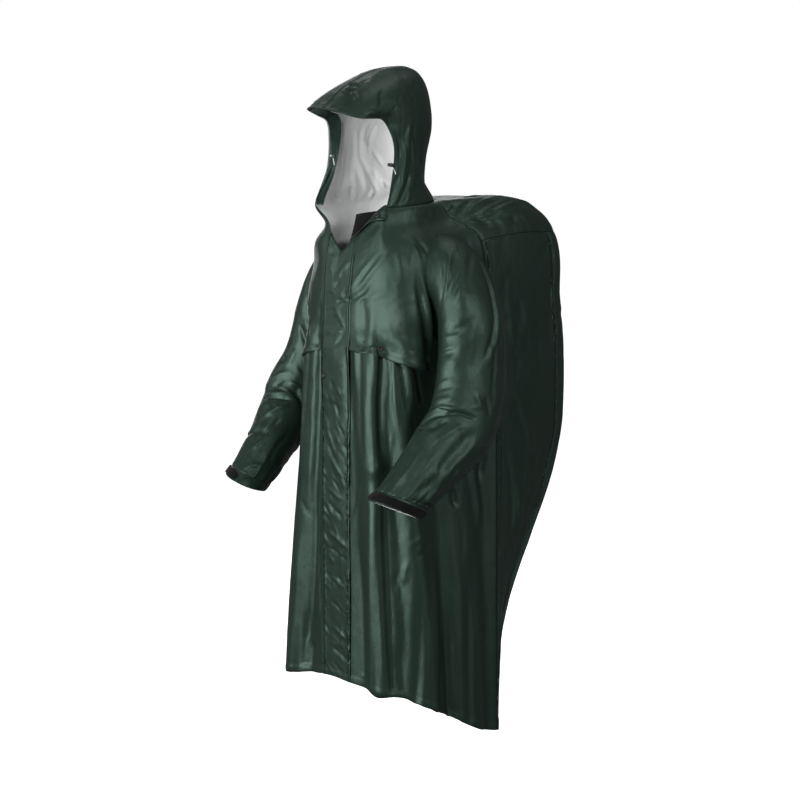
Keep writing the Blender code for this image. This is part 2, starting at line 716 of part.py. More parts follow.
# ---------------------------------------------------------------- hood

def hood_turn(back):
    """Where on the neckline an arch of the hood stands."""
    return HOOD_FRONT_TURN + (HOOD_BACK_TURN - HOOD_FRONT_TURN) * back ** 2


def hood(back, up, half):
    """Outer surface of one half of the hood. up runs from 0, the neckline, to 1, the crown."""
    back, up = np.broadcast_arrays(np.asarray(back, float), np.asarray(up, float))
    side = np.where(up > 1.0, -half, half)
    reach = np.where(up > 1.0, 2.0 - up, up)
    names = ("crown_y", "crown_z", "mid_y", "mid_z", "half_width")
    size = {name: through(back, column(ARCHES, "back"), column(ARCHES, name)) for name in names}
    zero = np.zeros_like(back)
    mid = np.stack([zero, size["mid_y"], size["mid_z"]], axis=-1)
    crown = np.stack([zero, size["crown_y"], size["crown_z"]], axis=-1)
    spring = mid + np.stack([size["half_width"], zero, zero], axis=-1)
    foot = np.stack(neckline(hood_turn(back), side), axis=-1)
    long = np.linalg.norm(spring - foot, axis=-1, keepdims=True)
    lean = (1.0 - smooth(0.0, 0.5, back)) * np.where(side > 0, 0.028, 0.045)
    first = spring - unit(crown - mid) * 0.26 * long
    second = foot + np.stack([zero, lean, 0.36 * long[..., 0]], axis=-1)
    share = (np.clip(reach / LEG_SHARE, 0.0, 1.0))[..., None]
    leg = ((1 - share) ** 3 * foot + 3 * (1 - share) ** 2 * share * second
           + 3 * (1 - share) * share ** 2 * first + share ** 3 * spring)
    angle = np.clip((reach - LEG_SHARE) / (1.0 - LEG_SHARE), 0.0, 1.0) * np.pi / 2
    across = (np.cos(angle) ** (2.0 / ARCH_CORNER) * size["half_width"])
    over = (np.sin(angle) ** (2.0 / ARCH_CORNER))[..., None]
    arch = mid + (crown - mid) * over
    arch[..., 0] = across
    points = np.where((reach <= LEG_SHARE)[..., None], leg, arch)
    nape = np.stack(neckline(HOOD_BACK_TURN + (3.0 - HOOD_BACK_TURN) * reach, side), axis=-1)
    points = points + (nape - points) * smooth(0.90, 1.0, back)[..., None]
    points[..., 0] *= side
    return points


def hood_normals(back, up, half, step=0.012):
    """Outward normals of one half of the hood."""
    back, up = np.broadcast_arrays(np.asarray(back, float), np.asarray(up, float))
    front = np.clip(back - step, 0.0, 1.0 - 2.0 * step)
    rear = hood(front + 2.0 * step, up, half) - hood(front, up, half)
    low = np.maximum(up - step, 0.0)
    rise = hood(back, low + 2.0 * step, half) - hood(back, low, half)
    return unit(np.cross(rear, rise)) * half


def hood_grid(backs, ups, half, lift=0.0):
    """Grid of hood points and normals."""
    backs, ups = np.broadcast_arrays(backs, ups)
    normals = hood_normals(backs, ups, half)
    return hood(backs, ups, half) + normals * lift, normals


# ---------------------------------------------------------------- hardware

def turned(name, profile, place, axis, look, sides=16):
    """Solid of revolution from radius and height pairs, set on a point along an axis."""
    angles = np.linspace(0.0, 2.0 * np.pi, sides, endpoint=False)
    rings = [[(r * np.cos(a), r * np.sin(a), h) for a in angles] for r, h in profile]
    points, faces = capped(np.array(rings))
    item = add_object(name, points, faces, look)
    item.rotation_euler = Vector(axis).to_track_quat("Z", "Y").to_euler()
    item.location = place
    return item


def snap(name, point, normal, look):
    """Press stud cap lying on a cloth wall."""
    low = SNAP_SEAT
    profile = ((SNAP_RADIUS, low), (SNAP_RADIUS, low + SNAP_HEIGHT * 0.6),
               (SNAP_RADIUS * 0.80, low + SNAP_HEIGHT), (SNAP_RADIUS * 0.45, low + SNAP_HEIGHT * 0.8))
    return turned(name, profile, point, normal, look, SNAP_SIDES)


def tree_of(item):
    """Search tree of an object's own faces."""
    corners = [point.co for point in item.data.vertices]
    return BVHTree.FromPolygons(corners, [list(face.vertices) for face in item.data.polygons])


# ---------------------------------------------------------------- assembly

def build_body(cloth):
    """All pieces of the body but the sleeves."""
    yokes = {}
    for word, side in (("left", 1.0), ("right", -1.0)):
        points, normals = yoke(side)
        yokes[side] = (wall("chest_yoke_" + word, points, normals, cloth("chest_yoke_" + word)),
                       points, normals)
        wall("lower_front_" + word, *lower_front(side), cloth("lower_front_" + word))
        wall("bulge_gusset_" + word, *gusset(side), cloth("bulge_gusset_" + word))
    wall("back_top", *back_top(), cloth("back_top"))
    wall("back_panel", *back(), cloth("back_panel"))
    wall("storm_flap", *storm_flap(), cloth("storm_flap"))
    wall("neck_flap", *neck_flap(), cloth("neck_flap"))
    wall("front_zip", *zip_chain(), finish("front_zip", BLACK, 0.45), ZIP_THICKNESS)
    wall("chin_guard", *chin_guard(), finish("chin_guard", BLACK, 0.95))
    return yokes


def build_sleeve(word, side, base, cloth):
    """One sleeve with its cuff band and tab, and the armhole that it stands on."""
    yoke_item, yoke_points, yoke_normals = base
    tree = tree_of(yoke_item)
    outer = sleeve_tube(side, tree)
    inner = sleeve_tube(side, tree, -CLOTH)
    cloth_wall = add_object("sleeve_" + word, *wall_mesh(outer, inner, True),
                            cloth("sleeve_" + word))
    slab_outer = yoke_points + yoke_normals * SEAM_GAP
    heart = np.array(CHEST_HEART)
    slab_inner = heart + (slab_outer - heart) * ARMHOLE_SLAB_SCALE
    tool = finish("tool_" + word, BLACK, 0.5)
    cut(cloth_wall, cutter("armhole_slab_" + word, *wall_mesh(slab_outer, slab_inner), tool))
    reach = np.array([side * ARMHOLE_CORE, 0.0, 0.0])
    core = np.stack([inner[0] - reach, inner[0], inner[0] + reach])
    cut(yoke_item, cutter("armhole_core_" + word, *capped(core), tool))

    centre, way, _, _, _, _ = sleeve_frame(np.array([1.0]), side)
    direction = way[0] * np.array([side, 1.0, 1.0])
    shares = np.linspace(0.0, 1.0, 3)[:, None, None]
    start = outer[-1] + direction * SEAM_GAP
    middle = centre[0] * np.array([side, 1.0, 1.0])
    radial = unit(outer[-1] - middle)
    band = start + direction * CUFF_LENGTH * shares
    band = band + radial * CUFF_FLARE * (1.0 - np.abs(2.0 * shares - 1.0))
    add_object("cuff_band_" + word, *wall_mesh(band, band - radial * CUFF_THICKNESS, True),
               cloth("cuff_band_" + word))
    build_tab(word, band, radial)


def build_tab(word, band, radial):
    """Hook-and-loop tab round the outer side of a cuff band, with a loose tail."""
    columns = np.arange(-TAB_COLUMNS, TAB_COLUMNS + 1) % SLEEVE_COLUMNS
    edge = (1.0 - TAB_WIDTH / CUFF_LENGTH) / 2
    low = band[0] + (band[1] - band[0]) * 2 * edge
    high = band[2] + (band[1] - band[2]) * 2 * edge
    rows = np.stack([low, band[1], high])[:, columns]
    out = radial[columns]
    tail = np.where(np.arange(len(columns)) == 0, TAB_TAIL, 0.0)[:, None]
    rows = rows + out * (STACK_GAP + tail)
    outer = rows + out * TAB_THICKNESS
    add_object("cuff_tab_" + word, *wall_mesh(outer, rows), finish("cuff_tab_" + word, BLACK, 0.85))


def build_hood(cloth):
    """Hood panels, peak, face opening band and cord locks."""
    gap = SEAM_GAP / 2
    backs = np.linspace(BAND_BACK, 1.0, HOOD_ROWS + 1)[:, None]
    legs = np.linspace(0.0, LEG_SHARE, LEG_COLUMNS + 1)[:-1]
    ups = np.concatenate([legs, np.linspace(LEG_SHARE, 1.0, ARCH_COLUMNS + 1)])
    for word, side in (("left", 1.0), ("right", -1.0)):
        fronts = np.linspace(0.0, 1.0, 3)[:-1, None] * BAND_BACK
        rows = np.concatenate([fronts, backs])
        points, normals = hood_grid(rows, ups[None, :], side)
        points = draw_in(points, ("last",), gap)
        points = draw_in(points, ("first",), SEAM_GAP)
        points = draw_in(points, ("bottom",), SEAM_GAP)
        wall("hood_panel_" + word, points, normals, cloth("hood_panel_" + word))
        points, normals = hood_grid(rows[:3], ups[None, :], side, -CLOTH - STACK_GAP)
        points = draw_in(points, ("first", "last"), SEAM_GAP)
        wall("hood_band_" + word, points, normals, cloth("hood_band_" + word), BAND_THICKNESS)


def build_snaps():
    """Press studs of the neck flap, the left yoke and the storm flap, each on its wall."""
    dark = finish("snap_metal", METAL, 0.35, 0.8)
    flap_turn = float(turn_at_x(SNAP_FLAP_X, np.array(SNAP_FLAP_LEVEL)))
    for name, carrier, turn, level in (("snap_neck", "neck_flap", *SNAP_NECK),
                                       ("snap_yoke", "chest_yoke_left", *SNAP_YOKE),
                                       ("snap_flap", "storm_flap", flap_turn, SNAP_FLAP_LEVEL)):
        spot = np.array([turn]), np.array([level])
        way = Vector(normals_of(body, *spot)[0])
        start = Vector(body(*spot)[0]) + way * SNAP_RADIUS * 2.0
        tree = tree_of(bpy.data.objects[carrier])
        across = way.orthogonal().normalized() * SNAP_RADIUS
        rim = [Quaternion(way, 2.0 * np.pi * k / SNAP_SIDES) @ across for k in range(SNAP_SIDES)]
        drop = min(tree.ray_cast(start + offset, -way)[3] for offset in rim + [Vector()])
        snap(name, start - way * drop, way, dark)


def build_cord_ends():
    """Cord locks at the two sides of the face opening, and the eyelet on the right band."""
    for word, half, color in (("left", 1.0, BLACK), ("right", -1.0, GREY)):
        edge = hood(0.0, np.array([LOCK_UP]), half)[0]
        edge = edge - hood_normals(0.0, np.array([LOCK_UP]), half)[0] * CLOTH
        axis = unit(np.array(LOCK_LEAN) * np.array([-half, 1.0, 1.0]))
        low = LOCK_RADIUS * 0.42
        profile = ((LOCK_RADIUS * 0.7, low), (LOCK_RADIUS, low + LOCK_LENGTH * 0.2),
                   (LOCK_RADIUS, low + LOCK_LENGTH * 0.8), (LOCK_RADIUS * 0.7, low + LOCK_LENGTH))
        turned("cord_lock_" + word, profile, edge, axis, finish("lock_" + word, color, 0.4), 12)
    at = np.array([EYELET_UP])
    normal = hood_normals(BAND_BACK * 0.5, at, -1.0)[0]
    depth = CLOTH + STACK_GAP + BAND_THICKNESS + SEAM_GAP
    place = hood(BAND_BACK * 0.5, at, -1.0)[0] - normal * depth
    profile = ((EYELET_RADIUS, 0.0), (EYELET_RADIUS * 0.8, EYELET_HEIGHT),
               (EYELET_RADIUS * 0.4, EYELET_HEIGHT * 0.5))
    turned("cord_eyelet_right", profile, place, -normal, finish("eyelet", GREY, 0.3, 0.8), 12)


def main():
    """Build the whole garment."""
    for item in list(bpy.data.objects):
        bpy.data.objects.remove(item, do_unlink=True)

    def cloth(name):
        return finish(name, GREEN, 0.38)

    yokes = build_body(cloth)
    for word, side in (("left", 1.0), ("right", -1.0)):
        build_sleeve(word, side, yokes[side], cloth)
    build_hood(cloth)
    build_snaps()
    build_cord_ends()


main()
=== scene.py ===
"""Looks of the hooded rain poncho: thin coated nylon over its CAD walls, worn and filled out.

Metres, +Z up, the front facing -Y and the wearer's left +X, as in the CAD. The body cloth is one
surface, body(turn, level): turn runs round the garment from the middle of the front (0) over the side
edge (1) and the seam between gusset and back (2) to the middle of the back (3), negative on the
wearer's right. level runs from the neckline (0) over the chest (1) and the yoke's edge (2) to the
hem (3). Folds and creases are short tables; each row is one stroke over the cloth.
"""

import math
from collections import namedtuple

import bpy
import numpy as np
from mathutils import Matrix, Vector
from mathutils.bvhtree import BVHTree


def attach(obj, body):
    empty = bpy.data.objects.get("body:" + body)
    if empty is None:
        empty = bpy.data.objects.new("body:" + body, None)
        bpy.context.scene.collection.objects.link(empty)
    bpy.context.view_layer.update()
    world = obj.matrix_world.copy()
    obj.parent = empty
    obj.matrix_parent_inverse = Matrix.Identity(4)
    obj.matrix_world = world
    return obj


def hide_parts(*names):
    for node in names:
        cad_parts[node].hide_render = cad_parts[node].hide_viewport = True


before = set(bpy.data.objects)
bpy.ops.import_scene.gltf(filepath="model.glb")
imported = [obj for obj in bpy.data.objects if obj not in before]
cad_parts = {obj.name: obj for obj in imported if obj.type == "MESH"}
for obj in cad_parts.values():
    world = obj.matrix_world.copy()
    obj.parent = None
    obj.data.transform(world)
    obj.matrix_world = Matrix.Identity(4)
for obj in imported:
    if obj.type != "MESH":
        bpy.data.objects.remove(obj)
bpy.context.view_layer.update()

# ---------------------------------------------------------------- sizes of the CAD walls

# These are the CAD's own sizes, but for the level of the neck snap and the height of the left cord
# lock. The nudges, the neck fill and the wrists further down move the cloth away from the CAD's form.

Section = namedtuple("Section", "z front side corner edge_x edge_y bulge_x bulge_y crown")
SECTIONS = (
    Section(-0.16, 0.140, 0.170, 2.4, 0.180, 0.145, 0.182, 0.368, 0.062),
    Section(-0.30, 0.144, 0.155, 2.7, 0.184, 0.165, 0.186, 0.376, 0.063),
    Section(-0.45, 0.144, 0.158, 3.0, 0.190, 0.178, 0.186, 0.374, 0.063),
    Section(-0.57, 0.144, 0.168, 3.2, 0.193, 0.175, 0.184, 0.344, 0.061),
    Section(-0.70, 0.143, 0.180, 3.3, 0.196, 0.172, 0.179, 0.284, 0.055),
    Section(-0.82, 0.142, 0.190, 3.4, 0.198, 0.170, 0.176, 0.226, 0.044),
    Section(-0.95, 0.142, 0.198, 3.5, 0.200, 0.168, 0.178, 0.186, 0.028),
    Section(-1.15, 0.142, 0.206, 3.6, 0.202, 0.166, 0.186, 0.174, 0.016),
)
CHEST_Z = -0.16
YOKE_Z_FRONT = -0.268
YOKE_Z_SIDE = -0.314
HEM_Z_FRONT = -1.010
HEM_Z_BACK_LEFT = -1.133
HEM_Z_BACK_RIGHT = -1.076
FRONT_SHARE = 0.60
BACK_CORNER = 3.4
GUSSET_BOW = 0.006
BULGE_LOFT = 0.012
GUSSET_LEVEL = 0.72

NeckPoint = namedtuple("NeckPoint", "turn x y z")
NECK_LEFT = (
    NeckPoint(0.00, 0.000, -0.121, -0.060),
    NeckPoint(0.15, 0.045, -0.097, -0.010),
    NeckPoint(0.30, 0.084, -0.068, 0.036),
    NeckPoint(0.60, 0.098, -0.015, 0.036),
    NeckPoint(1.00, 0.090, 0.055, 0.041),
    NeckPoint(2.00, 0.060, 0.095, 0.047),
    NeckPoint(3.00, 0.000, 0.112, 0.051),
)
NECK_RIGHT = (
    NeckPoint(0.00, 0.000, -0.121, -0.060),
    NeckPoint(0.15, 0.048, -0.126, -0.006),
    NeckPoint(0.30, 0.088, -0.122, 0.043),
    NeckPoint(0.60, 0.101, -0.040, 0.040),
    NeckPoint(1.00, 0.090, 0.055, 0.041),
    NeckPoint(2.00, 0.060, 0.095, 0.047),
    NeckPoint(3.00, 0.000, 0.112, 0.051),
)
SHOULDER_TURNS = (0.0, 0.35, 0.75, 1.1, 3.0)
SHOULDER_SQUARENESS = (1.6, 1.8, 2.5, 3.4, 3.8)

Fold = namedtuple("Fold", "at_top at_hem half_width top_depth hem_depth")
FOLDS_LEFT = (
    Fold(0.13, 0.13, 0.045, -0.003, -0.006),
    Fold(0.23, 0.24, 0.060, 0.009, 0.013),
    Fold(0.33, 0.37, 0.060, -0.010, -0.010),
    Fold(0.40, 0.50, 0.065, 0.007, 0.008),
    Fold(0.55, 0.63, 0.080, -0.004, -0.009),
    Fold(0.72, 0.78, 0.090, 0.003, 0.010),
    Fold(0.90, 0.91, 0.050, -0.002, -0.006),
    Fold(2.25, 2.25, 0.100, 0.000, 0.007),
    Fold(2.50, 2.52, 0.110, 0.000, -0.008),
    Fold(2.78, 2.80, 0.110, 0.000, 0.007),
)
FOLDS_RIGHT = (
    Fold(0.15, 0.16, 0.045, -0.012, -0.012),
    Fold(0.27, 0.33, 0.090, 0.010, 0.019),
    Fold(0.47, 0.54, 0.070, -0.006, -0.010),
    Fold(0.66, 0.72, 0.080, 0.005, 0.010),
    Fold(0.87, 0.90, 0.060, -0.003, -0.008),
    Fold(2.30, 2.30, 0.100, 0.000, -0.007),
    Fold(2.55, 2.55, 0.110, 0.000, 0.008),
    Fold(2.82, 2.80, 0.100, 0.000, -0.006),
)

WALL = 0.0015
YOKE_LIFT = WALL + 0.0008
YOKE_FLARE = 0.003
UNDERLAP_LEVEL = 1.76
FLAP_LEFT_X = 0.045
FLAP_RIGHT_X = -0.038
FLAP_LIFT = 0.0008 + WALL
FLAP_STEP_LEVEL = 2.02
NECK_FLAP_TURNS = (0.075, 0.30)
NECK_FLAP_LEVEL = 0.015
NECK_FLAP_DEPTHS = (0.06, 0.36)
NECK_FLAP_LIFT = 0.0043

ARMHOLE_Y = 0.040
ARMHOLE_Z = -0.112
ARMHOLE_HALF_HEIGHT = 0.092
ARMHOLE_HALF_WIDTH = 0.070

SleeveRing = namedtuple("SleeveRing", "x y z in_out fore_aft")
SLEEVE_RINGS = (
    SleeveRing(0.233, 0.044, -0.232, 0.060, 0.084),
    SleeveRing(0.240, 0.036, -0.300, 0.058, 0.085),
    SleeveRing(0.247, 0.018, -0.365, 0.058, 0.083),
    SleeveRing(0.250, -0.008, -0.425, 0.059, 0.080),
    SleeveRing(0.246, -0.060, -0.472, 0.057, 0.072),
    SleeveRing(0.237, -0.118, -0.513, 0.052, 0.061),
    SleeveRing(0.226, -0.172, -0.552, 0.047, 0.050),
)
RIGHT_ARM_SHIFT = (0.022, 0.000, 0.008)
ARM_ACROSS = (1.0, 0.0, 0.6)
HEAD_FULLNESS = 0.85
CUFF_LENGTH = 0.030
CUFF_FLARE = 0.0015

Arch = namedtuple("Arch", "back crown_y crown_z mid_y mid_z half_width")
ARCHES = (
    Arch(0.00, -0.197, 0.258, -0.078, 0.230, 0.094),
    Arch(0.12, -0.156, 0.283, -0.058, 0.239, 0.096),
    Arch(0.25, -0.098, 0.311, -0.036, 0.238, 0.097),
    Arch(0.40, -0.034, 0.337, -0.013, 0.228, 0.097),
    Arch(0.55, 0.030, 0.345, 0.015, 0.211, 0.096),
    Arch(0.70, 0.086, 0.310, 0.040, 0.188, 0.092),
    Arch(0.82, 0.110, 0.240, 0.060, 0.152, 0.087),
    Arch(0.92, 0.112, 0.155, 0.082, 0.106, 0.072),
    Arch(1.00, 0.112, 0.075, 0.100, 0.070, 0.055),
)
HOOD_FRONT_TURN = 0.30
HOOD_BACK_TURN = 2.20
ARCH_CORNER = 2.25
LEG_SHARE = 0.42
BAND_BACK = 0.13
CHIN_TURNS = (0.03, 0.30)
CHIN_GAP = 0.0032
CHIN_EDGE_LOW = (0.004, -0.108, -0.056)
CHIN_EDGE_HIGH = (0.008, -0.086, 0.022)
CHIN_BOW = 0.008
SNAP_NECK = (0.245, 0.235)
SNAP_YOKE = (0.285, 1.86)
SNAP_FLAP_X = -0.028
SNAP_FLAP_LEVEL = 2.08
LOCK_UP = {1.0: 0.16, -1.0: 0.19}
EYELET_UP = 0.235


# ---------------------------------------------------------------- the garment's form

def smooth(low, high, value):
    """Ease from 0 to 1 between two limits."""
    share = np.clip((np.asarray(value, float) - low) / (high - low), 0.0, 1.0)
    return share * share * (3.0 - 2.0 * share)


def through(value, knots, heights):
    """Read a smooth curve through the knots at each value."""
    knots = np.asarray(knots, float)
    heights = np.asarray(heights, float)
    rises = np.diff(heights) / np.diff(knots)
    slopes = np.empty_like(heights)
    slopes[0] = rises[0]
    slopes[-1] = rises[-1]
    same_way = rises[:-1] * rises[1:] > 0.0
    total = rises[:-1] + rises[1:]
    safe = np.where(same_way, total, 1.0)
    slopes[1:-1] = np.where(same_way, 2.0 * rises[:-1] * rises[1:] / safe, 0.0)
    value = np.clip(np.asarray(value, float), knots[0], knots[-1])
    index = np.clip(np.searchsorted(knots, value, side="right") - 1, 0, len(knots) - 2)
    step = knots[index + 1] - knots[index]
    share = (value - knots[index]) / step
    start = (1.0 + 2.0 * share) * (1.0 - share) ** 2 * heights[index]
    end = share ** 2 * (3.0 - 2.0 * share) * heights[index + 1]
    bends = slopes[index] * (1.0 - share) - slopes[index + 1] * share
    return start + end + share * (1.0 - share) * step * bends


def column(rows, name):
    """One named column of a table."""
    return [getattr(row, name) for row in rows]


def run_along(line):
    """Distance along a line of points, from its first one."""
    return np.concatenate([[0.0], np.cumsum(np.linalg.norm(np.diff(line, axis=0), axis=1))])


def read_along(places, run, values):
    """Vectors of a line read at distances along it."""
    return np.stack([np.interp(places, run, values[:, k]) for k in range(3)], axis=-1)


def wrapped(turn):
    """Turn brought between -3 and 3."""
    return (np.asarray(turn, float) + 3.0) % 6.0 - 3.0


SECTION_DEPTHS = [-z for z in column(SECTIONS, "z")]


def even_angles(corner, aspect, count=400):
    """Angles that space a superellipse quarter evenly, as shares of its arc."""
    angles = np.linspace(0.0, np.pi / 2, count)
    x = np.sin(angles) ** (2.0 / corner)
    y = aspect * np.cos(angles) ** (2.0 / corner)
    arc = np.concatenate([[0.0], np.cumsum(np.hypot(np.diff(x), np.diff(y)))])
    return arc / arc[-1], angles


FRONT_ARC = even_angles(3.0, 0.85)
SHOULDER_ARC = even_angles(2.6, 0.7)
BACK_ARC = even_angles(BACK_CORNER, 2.9)


def unit(vectors):
    """Scale vectors to length one."""
    length = np.linalg.norm(vectors, axis=-1, keepdims=True)
    return vectors / np.maximum(length, 1e-12)


def outline(turn, z):
    """Horizontal outline of the body at one turn and height, as x and y."""
    size = {name: through(-z, SECTION_DEPTHS, column(SECTIONS, name))
            for name in Section._fields[1:]}
    front_angle = np.interp(turn / FRONT_SHARE, *FRONT_ARC)
    power = 2.0 / size["corner"]
    front_x = size["side"] * np.sin(front_angle) ** power
    front_y = -size["front"] * np.cos(front_angle) ** power
    along = np.clip((turn - FRONT_SHARE) / (1.0 - FRONT_SHARE), 0.0, 1.0)
    side_x = size["side"] + (size["edge_x"] - size["side"]) * along ** 2
    side_y = size["edge_y"] * along
    along = np.clip(turn - 1.0, 0.0, 1.0)
    bow = GUSSET_BOW * np.sin(np.pi * along)
    gusset_x = size["edge_x"] + (size["bulge_x"] - size["edge_x"]) * along + bow
    gusset_y = size["edge_y"] + (size["bulge_y"] - size["edge_y"]) * along
    back_angle = np.interp(1.0 - np.clip(turn - 2.0, 0.0, 1.0), *BACK_ARC)
    back_x = size["bulge_x"] * np.sin(back_angle) ** (2.0 / BACK_CORNER)
    back_y = size["bulge_y"] + size["crown"] * np.cos(back_angle) ** (2.0 / BACK_CORNER)
    stretch = [turn <= FRONT_SHARE, turn <= 1.0, turn <= 2.0]
    x = np.select(stretch, [front_x, side_x, gusset_x], back_x)
    y = np.select(stretch, [front_y, side_y, gusset_y], back_y)
    return x, y


def neckline(turn, side):
    """Point of the neckline, in the half that side names."""
    left = [through(turn, column(NECK_LEFT, "turn"), column(NECK_LEFT, axis)) for axis in "xyz"]
    right = [through(turn, column(NECK_RIGHT, "turn"), column(NECK_RIGHT, axis)) for axis in "xyz"]
    return [np.where(side > 0, a, b) for a, b in zip(left, right)]


def level_height(turn, level, side=1.0):
    """Height of the body surface from the chest down. The hem hangs lower on the left."""
    share = smooth(0.05, 0.55, turn)
    yoke_z = YOKE_Z_FRONT + (YOKE_Z_SIDE - YOKE_Z_FRONT) * share
    middle = (HEM_Z_BACK_LEFT + HEM_Z_BACK_RIGHT) / 2
    corner = np.where(side > 0, HEM_Z_BACK_LEFT, HEM_Z_BACK_RIGHT)
    hem_z = HEM_Z_FRONT + (corner - HEM_Z_FRONT) * smooth(0.22, 1.02, turn)
    hem_z = hem_z + (middle - corner) * smooth(1.8, 3.4, turn) / smooth(1.8, 3.4, 3.0)
    chest = CHEST_Z + (yoke_z - CHEST_Z) * np.clip(level - 1.0, 0.0, 1.0)
    return chest + (hem_z - yoke_z) * np.clip(level - 2.0, 0.0, 1.0)


COLLAR_LEVEL = 0.75
COLLAR_HOLD = 0.80
COLLAR_DROP = 0.10


def plain_body(turn, level):
    """Body surface without its folds."""
    turn = wrapped(turn)
    side = np.where(turn < 0.0, -1.0, 1.0)
    turn = np.abs(turn)
    level = np.asarray(level, float)
    z = level_height(turn, level, side)
    x, y = outline(turn, z)
    neck_x, neck_y, neck_z = neckline(turn, side)
    angle = np.interp(np.clip(level, 0.0, 1.0), *SHOULDER_ARC)
    power = 2.0 / np.interp(turn, SHOULDER_TURNS, SHOULDER_SQUARENESS)
    stand = smooth(0.15, 0.40, turn) * (1.0 - smooth(0.8, 2.0, turn)) * np.where(side > 0, 0.55, 1.0)
    stand = stand * np.sin(np.pi * smooth(0.0, COLLAR_LEVEL, level))
    out = np.sin(angle) ** power * (1.0 - COLLAR_HOLD * stand)
    down = 1.0 - np.cos(angle) ** power + COLLAR_DROP * stand
    over_x = neck_x + (x - neck_x) * out
    over_y = neck_y + (y - neck_y) * out
    over_z = neck_z + (CHEST_Z - neck_z) * down
    over_z = over_z + BULGE_LOFT * smooth(0.8, 1.6, turn) * np.sin(np.pi * out)
    low = level > 1.0
    x = np.where(low, x, over_x) * side
    return np.stack([x, np.where(low, y, over_y), np.where(low, z, over_z)], axis=-1)


# Where the worn cloth sits away from the plain form: a place, how wide and how high the move
# reaches round it, and the move there.
Nudge = namedtuple("Nudge", "x y z wide high move_x move_y move_z")
NUDGES = (
    Nudge(0.00, 0.00, 0.33, 0.16, 0.05, 0.000, 0.024, 0.000),
    Nudge(0.00, -0.20, 0.27, 0.08, 0.05, 0.000, 0.018, -0.008),
    Nudge(0.06, -0.15, 0.24, 0.07, 0.032, 0.000, 0.000, -0.022),
    Nudge(0.09, -0.08, 0.215, 0.05, 0.040, -0.013, -0.013, 0.000),
    Nudge(0.08, 0.10, 0.13, 0.10, 0.075, -0.014, -0.012, 0.000),
    Nudge(-0.08, 0.10, 0.13, 0.10, 0.075, 0.012, -0.012, 0.000),
    Nudge(-0.095, -0.06, 0.20, 0.05, 0.06, -0.008, -0.008, 0.000),
    Nudge(-0.10, -0.105, 0.00, 0.06, 0.028, 0.020, 0.020, 0.000),
    Nudge(-0.12, -0.115, -0.08, 0.06, 0.05, 0.010, 0.010, 0.000),
    Nudge(0.17, 0.28, 0.02, 0.10, 0.07, 0.004, 0.004, 0.012),
    Nudge(-0.31, -0.05, -0.37, 0.08, 0.08, -0.013, -0.013, 0.000),
    Nudge(0.14, -0.15, -0.29, 0.07, 0.06, 0.007, 0.004, 0.012),
    Nudge(-0.02, -0.17, -1.03, 0.10, 0.12, 0.000, 0.000, 0.020),
)


def settled(points):
    """Points moved from the plain form to where the worn cloth sits."""
    points = np.asarray(points, float)
    moved = points + neck_fill(points)
    for nudge in NUDGES:
        flat = (points[..., 0] - nudge.x) ** 2 + (points[..., 1] - nudge.y) ** 2
        reach = np.exp(-flat / nudge.wide ** 2 - ((points[..., 2] - nudge.z) / nudge.high) ** 2)
        moved += reach[..., None] * np.array([nudge.move_x, nudge.move_y, nudge.move_z])
    return moved


def normals_of(surface, turn, level, step=0.012):
    """Outward normals of a surface, from its neighbourhood."""
    turn = np.asarray(turn, float)
    level = np.asarray(level, float)
    across = surface(turn + step, level) - surface(turn - step, level)
    upper = np.maximum(level - step, 0.0)
    down = surface(turn, upper + 2.0 * step) - surface(turn, upper)
    return unit(np.cross(across, -down))


def fold_depth(turn, level):
    """How far the folds lift the body cloth."""
    turn = wrapped(turn)
    level = np.asarray(level, float)
    reach = np.clip(level - 2.0, 0.0, 1.0)
    depth = np.zeros(np.broadcast(turn, level).shape)
    for side, folds in ((1.0, FOLDS_LEFT), (-1.0, FOLDS_RIGHT)):
        for fold in folds:
            at = fold.at_top + (fold.at_hem - fold.at_top) * reach
            size = fold.top_depth + (fold.hem_depth - fold.top_depth) * reach
            size = size * smooth(1.35, 2.08, level)
            depth += size * np.exp(-((side * turn - at) / fold.half_width) ** 2)
    return depth


def body(turn, level):
    """Outer surface of the body cloth."""
    base = plain_body(turn, level)
    return base + normals_of(plain_body, turn, level) * fold_depth(turn, level)[..., None]


def turn_at_x(x, level):
    """Turn at which the front surface has a given x."""
    x = np.asarray(x, float)
    z = level_height(np.zeros_like(x), level)
    half = through(-z, SECTION_DEPTHS, column(SECTIONS, "side"))
    corner = through(-z, SECTION_DEPTHS, column(SECTIONS, "corner"))
    angle = np.arcsin(np.clip(np.abs(x) / half, 0.0, 1.0) ** (corner / 2.0))
    return np.sign(x) * FRONT_SHARE * np.interp(angle, FRONT_ARC[1], FRONT_ARC[0])


def yoke_lift(level):
    """Distance of the yoke above the body surface, growing to its free edge."""
    return YOKE_LIFT * smooth(1.50, 1.72, level) + YOKE_FLARE * smooth(1.76, 2.0, level)


def flap_lift(level):
    """Distance of the storm flap above the body surface."""
    over_yoke = yoke_lift(np.minimum(level, 2.0)) * (1.0 - smooth(FLAP_STEP_LEVEL, 2.2, level))
    return FLAP_LIFT + over_yoke


